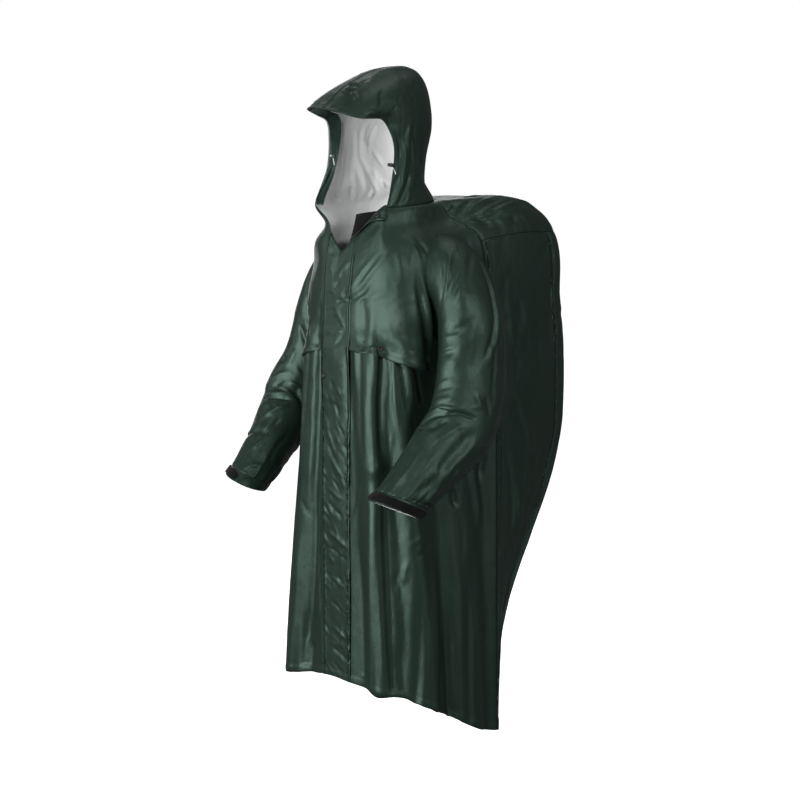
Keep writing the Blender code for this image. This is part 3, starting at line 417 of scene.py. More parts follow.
def sleeve_frame(along, side):
    """Centre, outward axis, front axis and half sizes at shares of the sleeve's length."""
    table = np.array(SLEEVE_RINGS)
    if side < 0:
        table[:, :3] += np.outer(smooth(0.0, 3.0, np.arange(len(table))), RIGHT_ARM_SHIFT)
    knots = run_along(table[:, :3])
    knots = knots / knots[-1]
    value = np.asarray(along, float)
    read = [through(value, knots, table[:, k]) for k in range(5)]
    ahead = [through(value + 0.01, knots, table[:, k]) for k in range(3)]
    behind = [through(value - 0.01, knots, table[:, k]) for k in range(3)]
    centre = np.stack(read[:3], axis=-1)
    way = unit(np.stack(ahead, axis=-1) - np.stack(behind, axis=-1))
    front = unit(np.cross(way, np.array(ARM_ACROSS)))
    out = unit(np.cross(front, way))
    return centre, way, out, front, read[3], read[4]


def wrist_way(side):
    """Direction of a sleeve at its wrist."""
    return sleeve_frame(np.array([1.0]), side)[1][0] * np.array([side, 1.0, 1.0])


def hood_turn(back):
    """Where on the neckline an arch of the hood stands."""
    return HOOD_FRONT_TURN + (HOOD_BACK_TURN - HOOD_FRONT_TURN) * back ** 2


def hood(back, up, half):
    """Outer surface of one half of the hood. up runs from 0, the neckline, to 1, the crown."""
    back, up = np.broadcast_arrays(np.asarray(back, float), np.asarray(up, float))
    side = np.where(up > 1.0, -half, half)
    reach = np.where(up > 1.0, 2.0 - up, up)
    names = ("crown_y", "crown_z", "mid_y", "mid_z", "half_width")
    size = {name: through(back, column(ARCHES, "back"), column(ARCHES, name)) for name in names}
    zero = np.zeros_like(back)
    mid = np.stack([zero, size["mid_y"], size["mid_z"]], axis=-1)
    crown = np.stack([zero, size["crown_y"], size["crown_z"]], axis=-1)
    spring = mid + np.stack([size["half_width"], zero, zero], axis=-1)
    foot = np.stack(neckline(hood_turn(back), side), axis=-1)
    long = np.linalg.norm(spring - foot, axis=-1, keepdims=True)
    lean = (1.0 - smooth(0.0, 0.5, back)) * np.where(side > 0, 0.028, 0.045)
    first = spring - unit(crown - mid) * 0.26 * long
    second = foot + np.stack([zero, lean, 0.36 * long[..., 0]], axis=-1)
    share = (np.clip(reach / LEG_SHARE, 0.0, 1.0))[..., None]
    leg = ((1 - share) ** 3 * foot + 3 * (1 - share) ** 2 * share * second
           + 3 * (1 - share) * share ** 2 * first + share ** 3 * spring)
    angle = np.clip((reach - LEG_SHARE) / (1.0 - LEG_SHARE), 0.0, 1.0) * np.pi / 2
    across = (np.cos(angle) ** (2.0 / ARCH_CORNER) * size["half_width"])
    over = (np.sin(angle) ** (2.0 / ARCH_CORNER))[..., None]
    arch = mid + (crown - mid) * over
    arch[..., 0] = across
    points = np.where((reach <= LEG_SHARE)[..., None], leg, arch)
    nape = np.stack(neckline(HOOD_BACK_TURN + (3.0 - HOOD_BACK_TURN) * reach, side), axis=-1)
    points = points + (nape - points) * smooth(0.90, 1.0, back)[..., None]
    points[..., 0] *= side
    return points


def hood_normals(back, up, half, step=0.012):
    """Outward normals of one half of the hood."""
    back, up = np.broadcast_arrays(np.asarray(back, float), np.asarray(up, float))
    front = np.clip(back - step, 0.0, 1.0 - 2.0 * step)
    rear = hood(front + 2.0 * step, up, half) - hood(front, up, half)
    low = np.maximum(up - step, 0.0)
    rise = hood(back, low + 2.0 * step, half) - hood(back, low, half)
    return unit(np.cross(rear, rise)) * half


NECK_FILL = 0.010
NECK_FILL_REACH = 0.032
NECK_FILL_TURNS = np.linspace(0.30, 5.70, 150)
NECK_RING = body(NECK_FILL_TURNS, np.zeros(150))
NECK_OUT = unit(unit(NECK_RING * np.array([1.0, 1.0, 0.0])) + np.array([0.0, 0.0, 0.7]))
NECK_SHARE = smooth(0.30, 0.75, NECK_FILL_TURNS) * smooth(0.30, 0.75, 6.0 - NECK_FILL_TURNS)


def neck_fill(points):
    """Rounding of the corner between the hood and the shoulders."""
    flat = points.reshape(-1, 3)
    fill = np.zeros_like(flat)
    span = NECK_FILL_REACH * 2.2
    near = np.where((flat > NECK_RING.min(axis=0) - span).all(axis=1)
                    & (flat < NECK_RING.max(axis=0) + span).all(axis=1))[0]
    if len(near):
        gaps = np.linalg.norm(flat[near][:, None] - NECK_RING[None], axis=-1)
        best = gaps.argmin(axis=1)
        nearest = gaps[np.arange(len(near)), best]
        push = NECK_FILL * NECK_SHARE[best] * np.exp(-(nearest / NECK_FILL_REACH) ** 2)
        fill[near] = NECK_OUT[best] * push[:, None]
    return fill.reshape(points.shape)


# ---------------------------------------------------------------- creases

# A stroke over the cloth from one surface spot to another: bend is how far its middle bows out as a
# share of its length, width the half width, depth positive for a ridge, sharp 0 for a round crest
# and 1 for a crisp one, and fade_a and fade_b the shares of its length over which its ends die out,
# which most rows leave at the usual share.
USUAL_FADE = 0.35
Stroke = namedtuple("Stroke", "u1 v1 u2 v2 bend width depth sharp fade_a fade_b",
                    defaults=(USUAL_FADE, USUAL_FADE))


def stroke_path(surface, stroke, count=14):
    """Points of a stroke on a surface, with the bow of its middle across it."""
    share = np.linspace(0.0, 1.0, count)
    u = stroke.u1 + (stroke.u2 - stroke.u1) * share
    v = stroke.v1 + (stroke.v2 - stroke.v1) * share
    points = surface(u, v)
    normals = normals_of(surface, u, v) if stroke.bend else None
    if normals is None:
        return points
    chord = points[-1] - points[0]
    sideways = unit(np.cross(normals, chord[None, :]))
    return points + sideways * (stroke.bend * np.linalg.norm(chord) * 4.0 * share * (1.0 - share))[:, None]


def press(points, path, stroke):
    """Height that one stroke adds at each point."""
    height = np.zeros(len(points))
    reach = 3.2 * stroke.width
    low = path.min(axis=0) - reach
    high = path.max(axis=0) + reach
    near = np.where(((points >= low) & (points <= high)).all(axis=1))[0]
    if not len(near):
        return height
    spot = points[near]
    best = np.full(len(near), np.inf)
    share = np.zeros(len(near))
    legs = len(path) - 1
    for index in range(legs):
        start = path[index]
        leg = path[index + 1] - start
        along = np.clip((spot - start) @ leg / max(leg @ leg, 1e-12), 0.0, 1.0)
        gap = np.linalg.norm(spot - start - along[:, None] * leg, axis=1)
        closer = gap < best
        best = np.where(closer, gap, best)
        share = np.where(closer, (index + along) / legs, share)
    width = stroke.width * (0.65 + 0.35 * np.sin(np.pi * np.clip(share, 0.05, 0.95)))
    crest = width * (0.55 - 0.45 * stroke.sharp)
    away = (np.sqrt(best ** 2 + crest ** 2) - crest) / width
    fade = np.ones(len(near))
    if stroke.fade_a > 0.0:
        fade = fade * smooth(0.0, stroke.fade_a, share)
    if stroke.fade_b > 0.0:
        fade = fade * smooth(0.0, stroke.fade_b, 1.0 - share)
    height[near] = stroke.depth * fade * np.exp(-1.4 * away ** (2.0 - 0.7 * stroke.sharp))
    return height


def pressed(points, surface, strokes):
    """Height that a table of strokes adds at each point of a surface."""
    flat = points.reshape(-1, 3)
    height = np.zeros(len(flat))
    for stroke in strokes:
        height += press(flat, stroke_path(surface, stroke), stroke)
    return height.reshape(points.shape[:-1])


# A loose crowd of small strokes: lean is their run in u for each unit in v, spread how far it varies,
# and deep the share of them that are troughs.
Crowd = namedtuple("Crowd", "seed count u1 u2 v1 v2 lean spread length width depth sharp deep")


def scattered(crowds):
    """Strokes of a table of crowds."""
    strokes = []
    for crowd in crowds:
        draw = np.random.default_rng(crowd.seed)
        for _ in range(crowd.count):
            u = draw.uniform(crowd.u1, crowd.u2)
            v = draw.uniform(crowd.v1, crowd.v2)
            reach = crowd.length * draw.uniform(0.35, 0.70)
            turn = crowd.lean + draw.normal(0.0, crowd.spread)
            size = crowd.width * draw.uniform(0.7, 1.35)
            rise = crowd.depth * draw.uniform(0.5, 1.2)
            rise = rise * draw.choice((-1.0, 1.0), p=(crowd.deep, 1.0 - crowd.deep))
            step_v = reach / math.sqrt(1.0 + turn * turn)
            step_u = turn * step_v
            strokes.append(Stroke(u - step_u, v - step_v, u + step_u, v + step_v,
                                  draw.normal(0.0, 0.08), size, rise, crowd.sharp, 0.45, 0.45))
    return strokes


# Large odd factors that mix a knot's place and the seed into one value.
HASH_X = 374761393
HASH_Y = 668265263
HASH_Z = 2147483647
HASH_SEED = 974711
HASH_MIX = 1274126177


def lattice_noise(spots, seed):
    """Smooth value noise between -1 and 1, with one knot for each unit."""
    cell = np.floor(spots).astype(np.int64)
    part = spots - cell
    part = part * part * part * (part * (part * 6.0 - 15.0) + 10.0)
    total = np.zeros(spots.shape[:-1])
    for corner in range(8):
        step = np.array([corner & 1, corner >> 1 & 1, corner >> 2 & 1])
        knot = cell + step
        mixed = knot[..., 0] * HASH_X + knot[..., 1] * HASH_Y + knot[..., 2] * HASH_Z + seed * HASH_SEED
        mixed = (mixed ^ (mixed >> 13)) * HASH_MIX
        value = ((mixed ^ (mixed >> 16)) & 0xFFFFF) / 524287.5 - 1.0
        total += value * np.prod(np.where(step == 1, part, 1.0 - part), axis=-1)
    return total


# One layer of a piece's own unrest: across and along are the sizes of its folds, across the hang of
# the cloth and down it, crisp 0 for soft waves and 1 for sharp crests.
Unrest = namedtuple("Unrest", "seed across along height crisp")


# Each layer of unrest sways sideways before it is read, and its crests are sharper than its waves.
SWAY = 0.55
SWAY_SCALE = 0.6
CREST_SCALE = 1.13
CREST_STEEPNESS = 2.4


def restless(points, layers):
    """Height of layers of unrest at each point."""
    height = np.zeros(points.shape[:-1])
    for layer in layers:
        spots = points / np.array([layer.across, layer.across, layer.along])
        sway = [lattice_noise(spots * SWAY_SCALE + 7.3 * k, layer.seed + 11 * k) for k in range(3)]
        spots = spots + SWAY * np.stack(sway, axis=-1)
        wave = lattice_noise(spots, layer.seed)
        crest = 1.0 - CREST_STEEPNESS * np.abs(lattice_noise(spots * CREST_SCALE + 3.1, layer.seed + 5))
        height += layer.height * ((1.0 - layer.crisp) * wave + layer.crisp * crest)
    return height


# ---------------------------------------------------------------- cloth walls

SHEET = 0.0008
BAND_SHEET = 0.0006
TAPE_SHEET = 0.0007
CUFF_SHEET = 0.0016
TAB_SHEET = 0.0018


def in_scene(name, data):
    """New object in the scene."""
    item = bpy.data.objects.new(name, data)
    bpy.context.scene.collection.objects.link(item)
    return item


def grid_normals(points, wrap=False):
    """Outward normals of a grid of points, rows running down and columns round."""
    if wrap:
        across = np.roll(points, -1, axis=1) - np.roll(points, 1, axis=1)
    else:
        across = np.gradient(points, axis=1)
    down = np.gradient(points, axis=0)
    return unit(np.cross(across, -down))


MIDDLE_Y = 0.08


def outward_normals(points):
    """Normals of a grid round the trunk, all away from its middle."""
    normals = grid_normals(points)
    away = points - np.array([0.0, MIDDLE_Y, 0.0])
    away[..., 2] = 0.0
    return normals * np.sign(np.mean(np.sum(normals * away, axis=-1)))


def rim_faces(keep, columns, layer, wrap):
    """Faces that close a shell along every edge between a kept cell and a missing one."""
    side = np.pad(keep, ((0, 0), (1, 1)), mode="wrap" if wrap else "constant")
    before, after = side[:, :-1], side[:, 1:]
    ends = np.pad(keep, ((1, 1), (0, 0)))
    above, below = ends[:-1], ends[1:]
    rims = []
    for row, col, step_row, step_col, turned in (
            (*np.where(after & ~before), 1, 0, True), (*np.where(before & ~after), 1, 0, False),
            (*np.where(below & ~above), 0, 1, False), (*np.where(above & ~below), 0, 1, True)):
        if wrap and step_row:
            continue
        start = row * columns + col % columns
        end = (row + step_row) * columns + (col + step_col) % columns
        rim = np.stack([start, end, end + layer, start + layer], axis=1)
        rims.append(rim[:, ::-1] if turned else rim)
    return rims


def shell(name, outer, inner, looks, wrap=False, flip=False, keep=None):
    """Closed thin shell between two grids: looks are the outside and the inside material, and keep
    says which cells of the grid are cloth."""
    rows, columns = outer.shape[:2]
    layer = rows * columns
    last = columns if wrap else columns - 1
    if keep is None:
        keep = np.ones((rows - 1, last), bool)
    row, col = np.where(keep)
    a = row * columns + col
    b = row * columns + (col + 1) % columns
    c = (row + 1) * columns + (col + 1) % columns
    d = (row + 1) * columns + col
    front = np.stack([a, d, c, b], axis=1)
    back = np.stack([a, b, c, d], axis=1) + layer
    faces = np.concatenate([front, back] + rim_faces(keep, columns, layer, wrap))
    if flip:
        faces = faces[:, ::-1]
    points = np.concatenate([outer.reshape(-1, 3), inner.reshape(-1, 3)])
    used = np.zeros(len(points), bool)
    used[faces.ravel()] = True
    renumber = np.cumsum(used) - 1
    faces = renumber[faces]
    points = points[used]
    mesh = bpy.data.meshes.new(name)
    mesh.vertices.add(len(points))
    mesh.vertices.foreach_set("co", settled(points).astype(np.float32).ravel())
    mesh.loops.add(faces.size)
    mesh.loops.foreach_set("vertex_index", faces.astype(np.int32).ravel())
    mesh.polygons.add(len(faces))
    mesh.polygons.foreach_set("loop_start", np.arange(0, faces.size, 4, dtype=np.int32))
    for look in looks:
        mesh.materials.append(look)
    slots = np.zeros(len(faces), np.int32)
    slots[len(front):len(front) + len(back)] = len(looks) - 1
    mesh.polygons.foreach_set("material_index", slots)
    mesh.update(calc_edges=True)
    mesh.validate()
    mesh.polygons.foreach_set("use_smooth", np.ones(len(mesh.polygons), bool))
    return in_scene(name, mesh)


def dress(item, slot, *nodes):
    """Let a piece ride with the garment and hide the CAD nodes it stands for. Its slot is not used."""
    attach(item, "root")
    if nodes:
        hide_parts(*nodes)
    return item


def cloth_shell(name, points, looks, wrap=False, thickness=SHEET, normals=None, slot="shell_nylon",
                keep=None):
    """Thin cloth from its outer points, standing for the CAD node of that name."""
    if normals is None:
        normals = outward_normals(points)
    flip = np.mean(np.sum(np.cross(points[1:-1, 2:] - points[1:-1, :-2],
                                   points[:-2, 1:-1] - points[2:, 1:-1])
                          * normals[1:-1, 1:-1], axis=-1)) < 0.0
    item = shell(name, points, points - normals * thickness, looks, wrap, not flip, keep)
    return dress(item, slot, name)


# ---------------------------------------------------------------- materials

def shader_of(name, color, roughness, metallic=0.0, specular=0.5, sheen=0.0, tint=(1.0, 1.0, 1.0)):
    """Principled material with constant sockets. Returns the material, its nodes, links and shader."""
    material = bpy.data.materials.new(name)
    material.use_nodes = True
    nodes = material.node_tree.nodes
    shader = nodes["Principled BSDF"]
    shader.inputs["Base Color"].default_value = (*color, 1.0)
    shader.inputs["Roughness"].default_value = roughness
    shader.inputs["Metallic"].default_value = metallic
    shader.inputs["Specular IOR Level"].default_value = specular
    shader.inputs["Sheen Weight"].default_value = sheen
    shader.inputs["Specular Tint"].default_value = (*tint, 1.0)
    return material, nodes, material.node_tree.links, shader


def node(nodes, kind, **values):
    """New node with its inputs and settings."""
    made = nodes.new(kind)
    for key, value in values.items():
        if key in made.inputs:
            made.inputs[key].default_value = value
        else:
            setattr(made, key, value)
    return made


def noise(nodes, links, place, scale, detail, stretch=(1.0, 1.0, 1.0)):
    """Noise in the garment's own metres."""
    mapping = node(nodes, "ShaderNodeMapping", vector_type="POINT")
    mapping.inputs["Scale"].default_value = stretch
    links.new(place.outputs["Object"], mapping.inputs["Vector"])
    made = node(nodes, "ShaderNodeTexNoise", Scale=scale, Detail=detail, Roughness=0.55)
    links.new(mapping.outputs["Vector"], made.inputs["Vector"])
    return made


def blend_colors(nodes, links, factor, first, second):
    """Mix of two colours by a value between 0 and 1."""
    mix = node(nodes, "ShaderNodeMix", data_type="RGBA")
    mix.inputs[6].default_value = (*first, 1.0)
    mix.inputs[7].default_value = (*second, 1.0)
    links.new(factor, mix.inputs[0])
    return mix.outputs[2]


def bump(nodes, links, height, strength, distance, below=None):
    """Bump of a height, on top of another one."""
    made = node(nodes, "ShaderNodeBump", Strength=strength, Distance=distance)
    links.new(height, made.inputs["Height"])
    if below is not None:
        links.new(below.outputs["Normal"], made.inputs["Normal"])
    return made


def coated_nylon(name, dark, light, roughness, specular, crumple, tint=(1.0, 1.0, 1.0)):
    """Thin woven nylon: faint clouding, soft crumples and a fine weave."""
    material, nodes, links, shader = shader_of(name, dark, roughness, specular=specular, tint=tint)
    place = node(nodes, "ShaderNodeTexCoord")
    cloud = noise(nodes, links, place, 9.0, 3.0)
    links.new(blend_colors(nodes, links, cloud.outputs["Fac"], dark, light), shader.inputs["Base Color"])
    gloss = node(nodes, "ShaderNodeMapRange")
    gloss.inputs["To Min"].default_value = roughness - 0.05
    gloss.inputs["To Max"].default_value = roughness + 0.06
    links.new(cloud.outputs["Fac"], gloss.inputs["Value"])
    links.new(gloss.outputs["Result"], shader.inputs["Roughness"])
    soft = noise(nodes, links, place, 26.0, 2.5, (1.0, 1.0, 0.6))
    fine = noise(nodes, links, place, 95.0, 2.0)
    weave = node(nodes, "ShaderNodeTexWave", wave_type="BANDS", bands_direction="Z", Scale=380.0)
    warp = node(nodes, "ShaderNodeTexWave", wave_type="BANDS", bands_direction="DIAGONAL", Scale=240.0)
    for made in (weave, warp):
        links.new(place.outputs["Object"], made.inputs["Vector"])
    cross = node(nodes, "ShaderNodeMath", operation="ADD")
    links.new(weave.outputs["Fac"], cross.inputs[0])
    links.new(warp.outputs["Fac"], cross.inputs[1])
    level = bump(nodes, links, soft.outputs["Fac"], 1.0, 0.0040 * crumple)
    level = bump(nodes, links, fine.outputs["Fac"], 1.0, 0.0005 * crumple, level)
    level = bump(nodes, links, cross.outputs["Value"], 0.6, 0.00004, level)
    links.new(level.outputs["Normal"], shader.inputs["Normal"])
    return material


def loop_cloth(name, color):
    """Black hook-and-loop: a matt pile with tiny paler dots."""
    material, nodes, links, shader = shader_of(name, color, 0.95, specular=0.12, sheen=0.05)
    place = node(nodes, "ShaderNodeTexCoord")
    dots = node(nodes, "ShaderNodeTexVoronoi", Scale=420.0, Randomness=0.35)
    links.new(place.outputs["Object"], dots.inputs["Vector"])
    spots = node(nodes, "ShaderNodeMapRange")
    spots.inputs["From Max"].default_value = 0.42
    spots.inputs["To Min"].default_value = 1.0
    spots.inputs["To Max"].default_value = 0.0
    links.new(dots.outputs["Distance"], spots.inputs["Value"])
    links.new(blend_colors(nodes, links, spots.outputs["Result"], color, (0.022, 0.022, 0.024)),
              shader.inputs["Base Color"])
    links.new(bump(nodes, links, spots.outputs["Result"], 0.8, 0.0005).outputs["Normal"],
              shader.inputs["Normal"])
    return material


def moulded(name, color, roughness, metallic=0.0, grain=0.00006):
    """Moulded plastic or painted metal with a fine grain."""
    material, nodes, links, shader = shader_of(name, color, roughness, metallic)
    place = node(nodes, "ShaderNodeTexCoord")
    grit = noise(nodes, links, place, 900.0, 2.0)
    lighter = tuple(min(1.0, c * 1.5 + 0.004) for c in color)
    links.new(blend_colors(nodes, links, grit.outputs["Fac"], color, lighter), shader.inputs["Base Color"])
    links.new(bump(nodes, links, grit.outputs["Fac"], 0.7, grain).outputs["Normal"],
              shader.inputs["Normal"])
    return material


GREEN_DARK = (0.0085, 0.0175, 0.0125)
GREEN_LIGHT = (0.0120, 0.0235, 0.0170)
GREEN_TINT = (0.66, 1.0, 0.86)
SILVER_DARK = (0.74, 0.75, 0.75)
SILVER_LIGHT = (0.80, 0.81, 0.81)

green = coated_nylon("nylon_green", GREEN_DARK, GREEN_LIGHT, 0.40, 0.55, 0.45, GREEN_TINT)
silver = coated_nylon("coating_silver", SILVER_DARK, SILVER_LIGHT, 0.50, 0.45, 0.8)
black_loop = loop_cloth("loop_black", (0.003, 0.003, 0.0035))
black_fleece = loop_cloth("guard_black", (0.0025, 0.0025, 0.003))
zip_black = moulded("zip_black", (0.012, 0.012, 0.013), 0.45)
snap_dark = moulded("snap_dark", (0.006, 0.0065, 0.0065), 0.45)
lock_black = moulded("lock_black", (0.014, 0.014, 0.015), 0.42)
lock_grey = moulded("lock_grey", (0.17, 0.175, 0.18), 0.35, 0.6)
thread = moulded("thread_green", (0.012, 0.024, 0.018), 0.55, 0.0, 0.00002)


# ---------------------------------------------------------------- camera, floor and light

CAMERA_TURN = math.radians(45.0)
CAMERA_RISE = math.radians(6.0)
CAMERA_TARGET = Vector((0.0283, 0.0283, -0.39))
CAMERA_DISTANCE = 4.4
SENSOR = 36.0
PIXELS = 800
PIXELS_PER_METRE = 450.0
SHOULDER_HEIGHT = 1.45


def aim(item, place, target):
    """Put a camera or light at a place, looking at a target."""
    item.location = place
    item.rotation_euler = (Vector(target) - Vector(place)).to_track_quat("-Z", "Y").to_euler()


def make_camera():
    """Camera at the photograph's viewing angle."""
    data = bpy.data.cameras.new("camera")
    data.sensor_width = SENSOR
    data.lens = SENSOR * CAMERA_DISTANCE * PIXELS_PER_METRE / PIXELS
    camera = in_scene("camera", data)
    way = Vector((math.sin(CAMERA_TURN) * math.cos(CAMERA_RISE),
                  -math.cos(CAMERA_TURN) * math.cos(CAMERA_RISE), math.sin(CAMERA_RISE)))
    aim(camera, CAMERA_TARGET + way * CAMERA_DISTANCE, CAMERA_TARGET)
    bpy.context.scene.camera = camera


# Each soft box: where it stands, its width and height, and its power in watts.
SoftBox = namedtuple("SoftBox", "name x y z width height power")
SOFT_BOXES = (
    SoftBox("key_front", 0.28, -3.7, -0.15, 3.7, 1.9, 155.0),
    SoftBox("side_right", -3.0, -2.2, 0.8, 1.6, 2.6, 15.0),
    SoftBox("left_high", 3.6, 0.0, 1.45, 1.6, 1.2, 31.0),
    SoftBox("front_high", 1.1, -3.0, 2.1, 1.7, 1.0, 36.0),
    SoftBox("brow", -2.1, 1.0, 2.6, 0.9, 0.9, 5.5),
    SoftBox("rear", -3.3, 2.4, 0.4, 2.4, 2.4, 40.0),
    SoftBox("side_left", 3.6, 0.9, -0.2, 2.4, 3.0, 9.0),
    SoftBox("top", 0.5, 0.9, 3.2, 2.2, 1.6, 14.0),
)
LIGHT_TARGET = (0.0, 0.05, -0.35)
WORLD_SHOWN = 1.0
WORLD_LIGHT = 0.11
FLOOR_GLOW = 1.0
FLOOR_HALF = 40.0


def make_light():
    """Soft boxes and a pale surround."""
    for box in SOFT_BOXES:
        data = bpy.data.lights.new(box.name, "AREA")
        data.shape = "RECTANGLE"
        data.size = box.width
        data.size_y = box.height
        data.energy = box.power
        aim(in_scene(box.name, data), (box.x, box.y, box.z), LIGHT_TARGET)
    world = bpy.data.worlds.new("studio")
    bpy.context.scene.world = world
    world.use_nodes = True
    nodes = world.node_tree.nodes
    links = world.node_tree.links
    back = nodes["Background"]
    back.inputs["Color"].default_value = (1.0, 1.0, 1.0, 1.0)
    path = nodes.new("ShaderNodeLightPath")
    span = nodes.new("ShaderNodeMapRange")
    span.inputs["To Min"].default_value = WORLD_LIGHT
    span.inputs["To Max"].default_value = WORLD_SHOWN
    links.new(path.outputs["Is Camera Ray"], span.inputs["Value"])
    links.new(span.outputs["Result"], back.inputs["Strength"])


def make_floor():
    """Plain pale floor, SHOULDER_HEIGHT below the origin."""
    half = FLOOR_HALF
    mesh = bpy.data.meshes.new("floor")
    z = -SHOULDER_HEIGHT
    mesh.from_pydata([(-half, -half, z), (half, -half, z), (half, half, z), (-half, half, z)],
                     [], [(0, 1, 2, 3)])
    floor = in_scene("floor", mesh)
    material, nodes, links, shader = shader_of("floor_pale", (0.88, 0.88, 0.88), 0.9, specular=0.1)
    place = node(nodes, "ShaderNodeTexCoord")
    grain = noise(nodes, links, place, 3.0, 2.0)
    links.new(blend_colors(nodes, links, grain.outputs["Fac"], (0.87, 0.87, 0.87), (0.89, 0.89, 0.89)),
              shader.inputs["Base Color"])
    shader.inputs["Emission Color"].default_value = (1.0, 1.0, 1.0, 1.0)
    shader.inputs["Emission Strength"].default_value = FLOOR_GLOW
    mesh.materials.append(material)
    floor.visible_diffuse = False
    floor.visible_glossy = False


make_camera()
make_light()
make_floor()
bpy.context.scene.view_settings.view_transform = "Standard"


# ---------------------------------------------------------------- crease tables

LEFT_YOKE_STROKES = [
    Stroke(0.35, 0.583, 0.18, 0.847, 0.0, 0.007, 0.003, 0.5),
    Stroke(0.33, 0.607, 0.13, 0.85, 0.0, 0.006, -0.0032, 0.6),
    Stroke(0.31, 0.623, 0.09, 0.91, -0.04, 0.006, 0.0026, 0.6),
    Stroke(0.293, 0.717, 0.043, 1.237, -0.04, 0.007, -0.003, 0.5),
    Stroke(0.267, 0.77, 0.17, 1.177, -0.01, 0.005, -0.0028, 0.8),
    Stroke(0.237, 0.84, 0.18, 0.93, 0.0, 0.004, -0.0022, 0.9),
    Stroke(0.25, 0.823, 0.207, 1.02, 0.0, 0.004, 0.002, 0.8),
    Stroke(0.203, 0.95, 0.213, 1.9, 0.0, 0.009, -0.0035, 0.4, 0.3, 0.0),
    Stroke(0.25, 0.893, 0.253, 1.863, 0.0, 0.006, 0.002, 0.4, 0.4, 0.0),
    Stroke(0.443, 0.737, 0.55, 1.923, -0.01, 0.009, -0.01, 0.6, 0.3, 0.05),
    Stroke(0.47, 0.773, 0.58, 1.703, -0.01, 0.007, 0.0045, 0.5, 0.3, 0.2),
    Stroke(0.523, 0.84, 0.607, 1.567, 0.01, 0.006, -0.0075, 0.6, 0.3, 0.2),
    Stroke(0.523, 1.5, 0.55, 1.953, 0.0, 0.011, -0.0075, 0.3, 0.4, 0.0),
    Stroke(0.393, 0.597, 0.41, 0.767, 0.0, 0.006, -0.0022, 0.6),
    Stroke(0.367, 0.633, 0.383, 0.86, 0.0, 0.007, 0.002, 0.4),
    Stroke(0.437, 0.577, 0.48, 0.747, 0.0, 0.006, 0.0026, 0.5),
    Stroke(0.48, 0.54, 0.54, 0.723, 0.0, 0.005, -0.0024, 0.6),
    Stroke(0.367, 1.437, 0.423, 1.74, 0.0, 0.007, -0.002, 0.4, 0.4, 0.0),
    Stroke(0.317, 1.267, 0.353, 1.79, 0.0, 0.008, 0.0016, 0.4, 0.4, 0.0),
    Stroke(0.417, 0.77, 0.473, 1.877, 0.0, 0.044, 0.016, 0.2, 0.5, 0.0),
]
RIGHT_YOKE_STROKES = [
    Stroke(-0.19, 0.683, -0.223, 0.92, 0.0, 0.006, -0.0026, 0.5),
    Stroke(-0.13, 0.78, -0.197, 1.377, 0.0, 0.007, 0.0026, 0.4),
    Stroke(-0.147, 1.027, -0.173, 1.887, 0.0, 0.006, -0.003, 0.5, 0.3, 0.0),
    Stroke(-0.22, 1.37, -0.21, 1.873, 0.0, 0.005, 0.0026, 0.5, 0.3, 0.0),
    Stroke(-0.277, 1.467, -0.233, 1.87, 0.0, 0.004, -0.0026, 0.6, 0.3, 0.0),
]
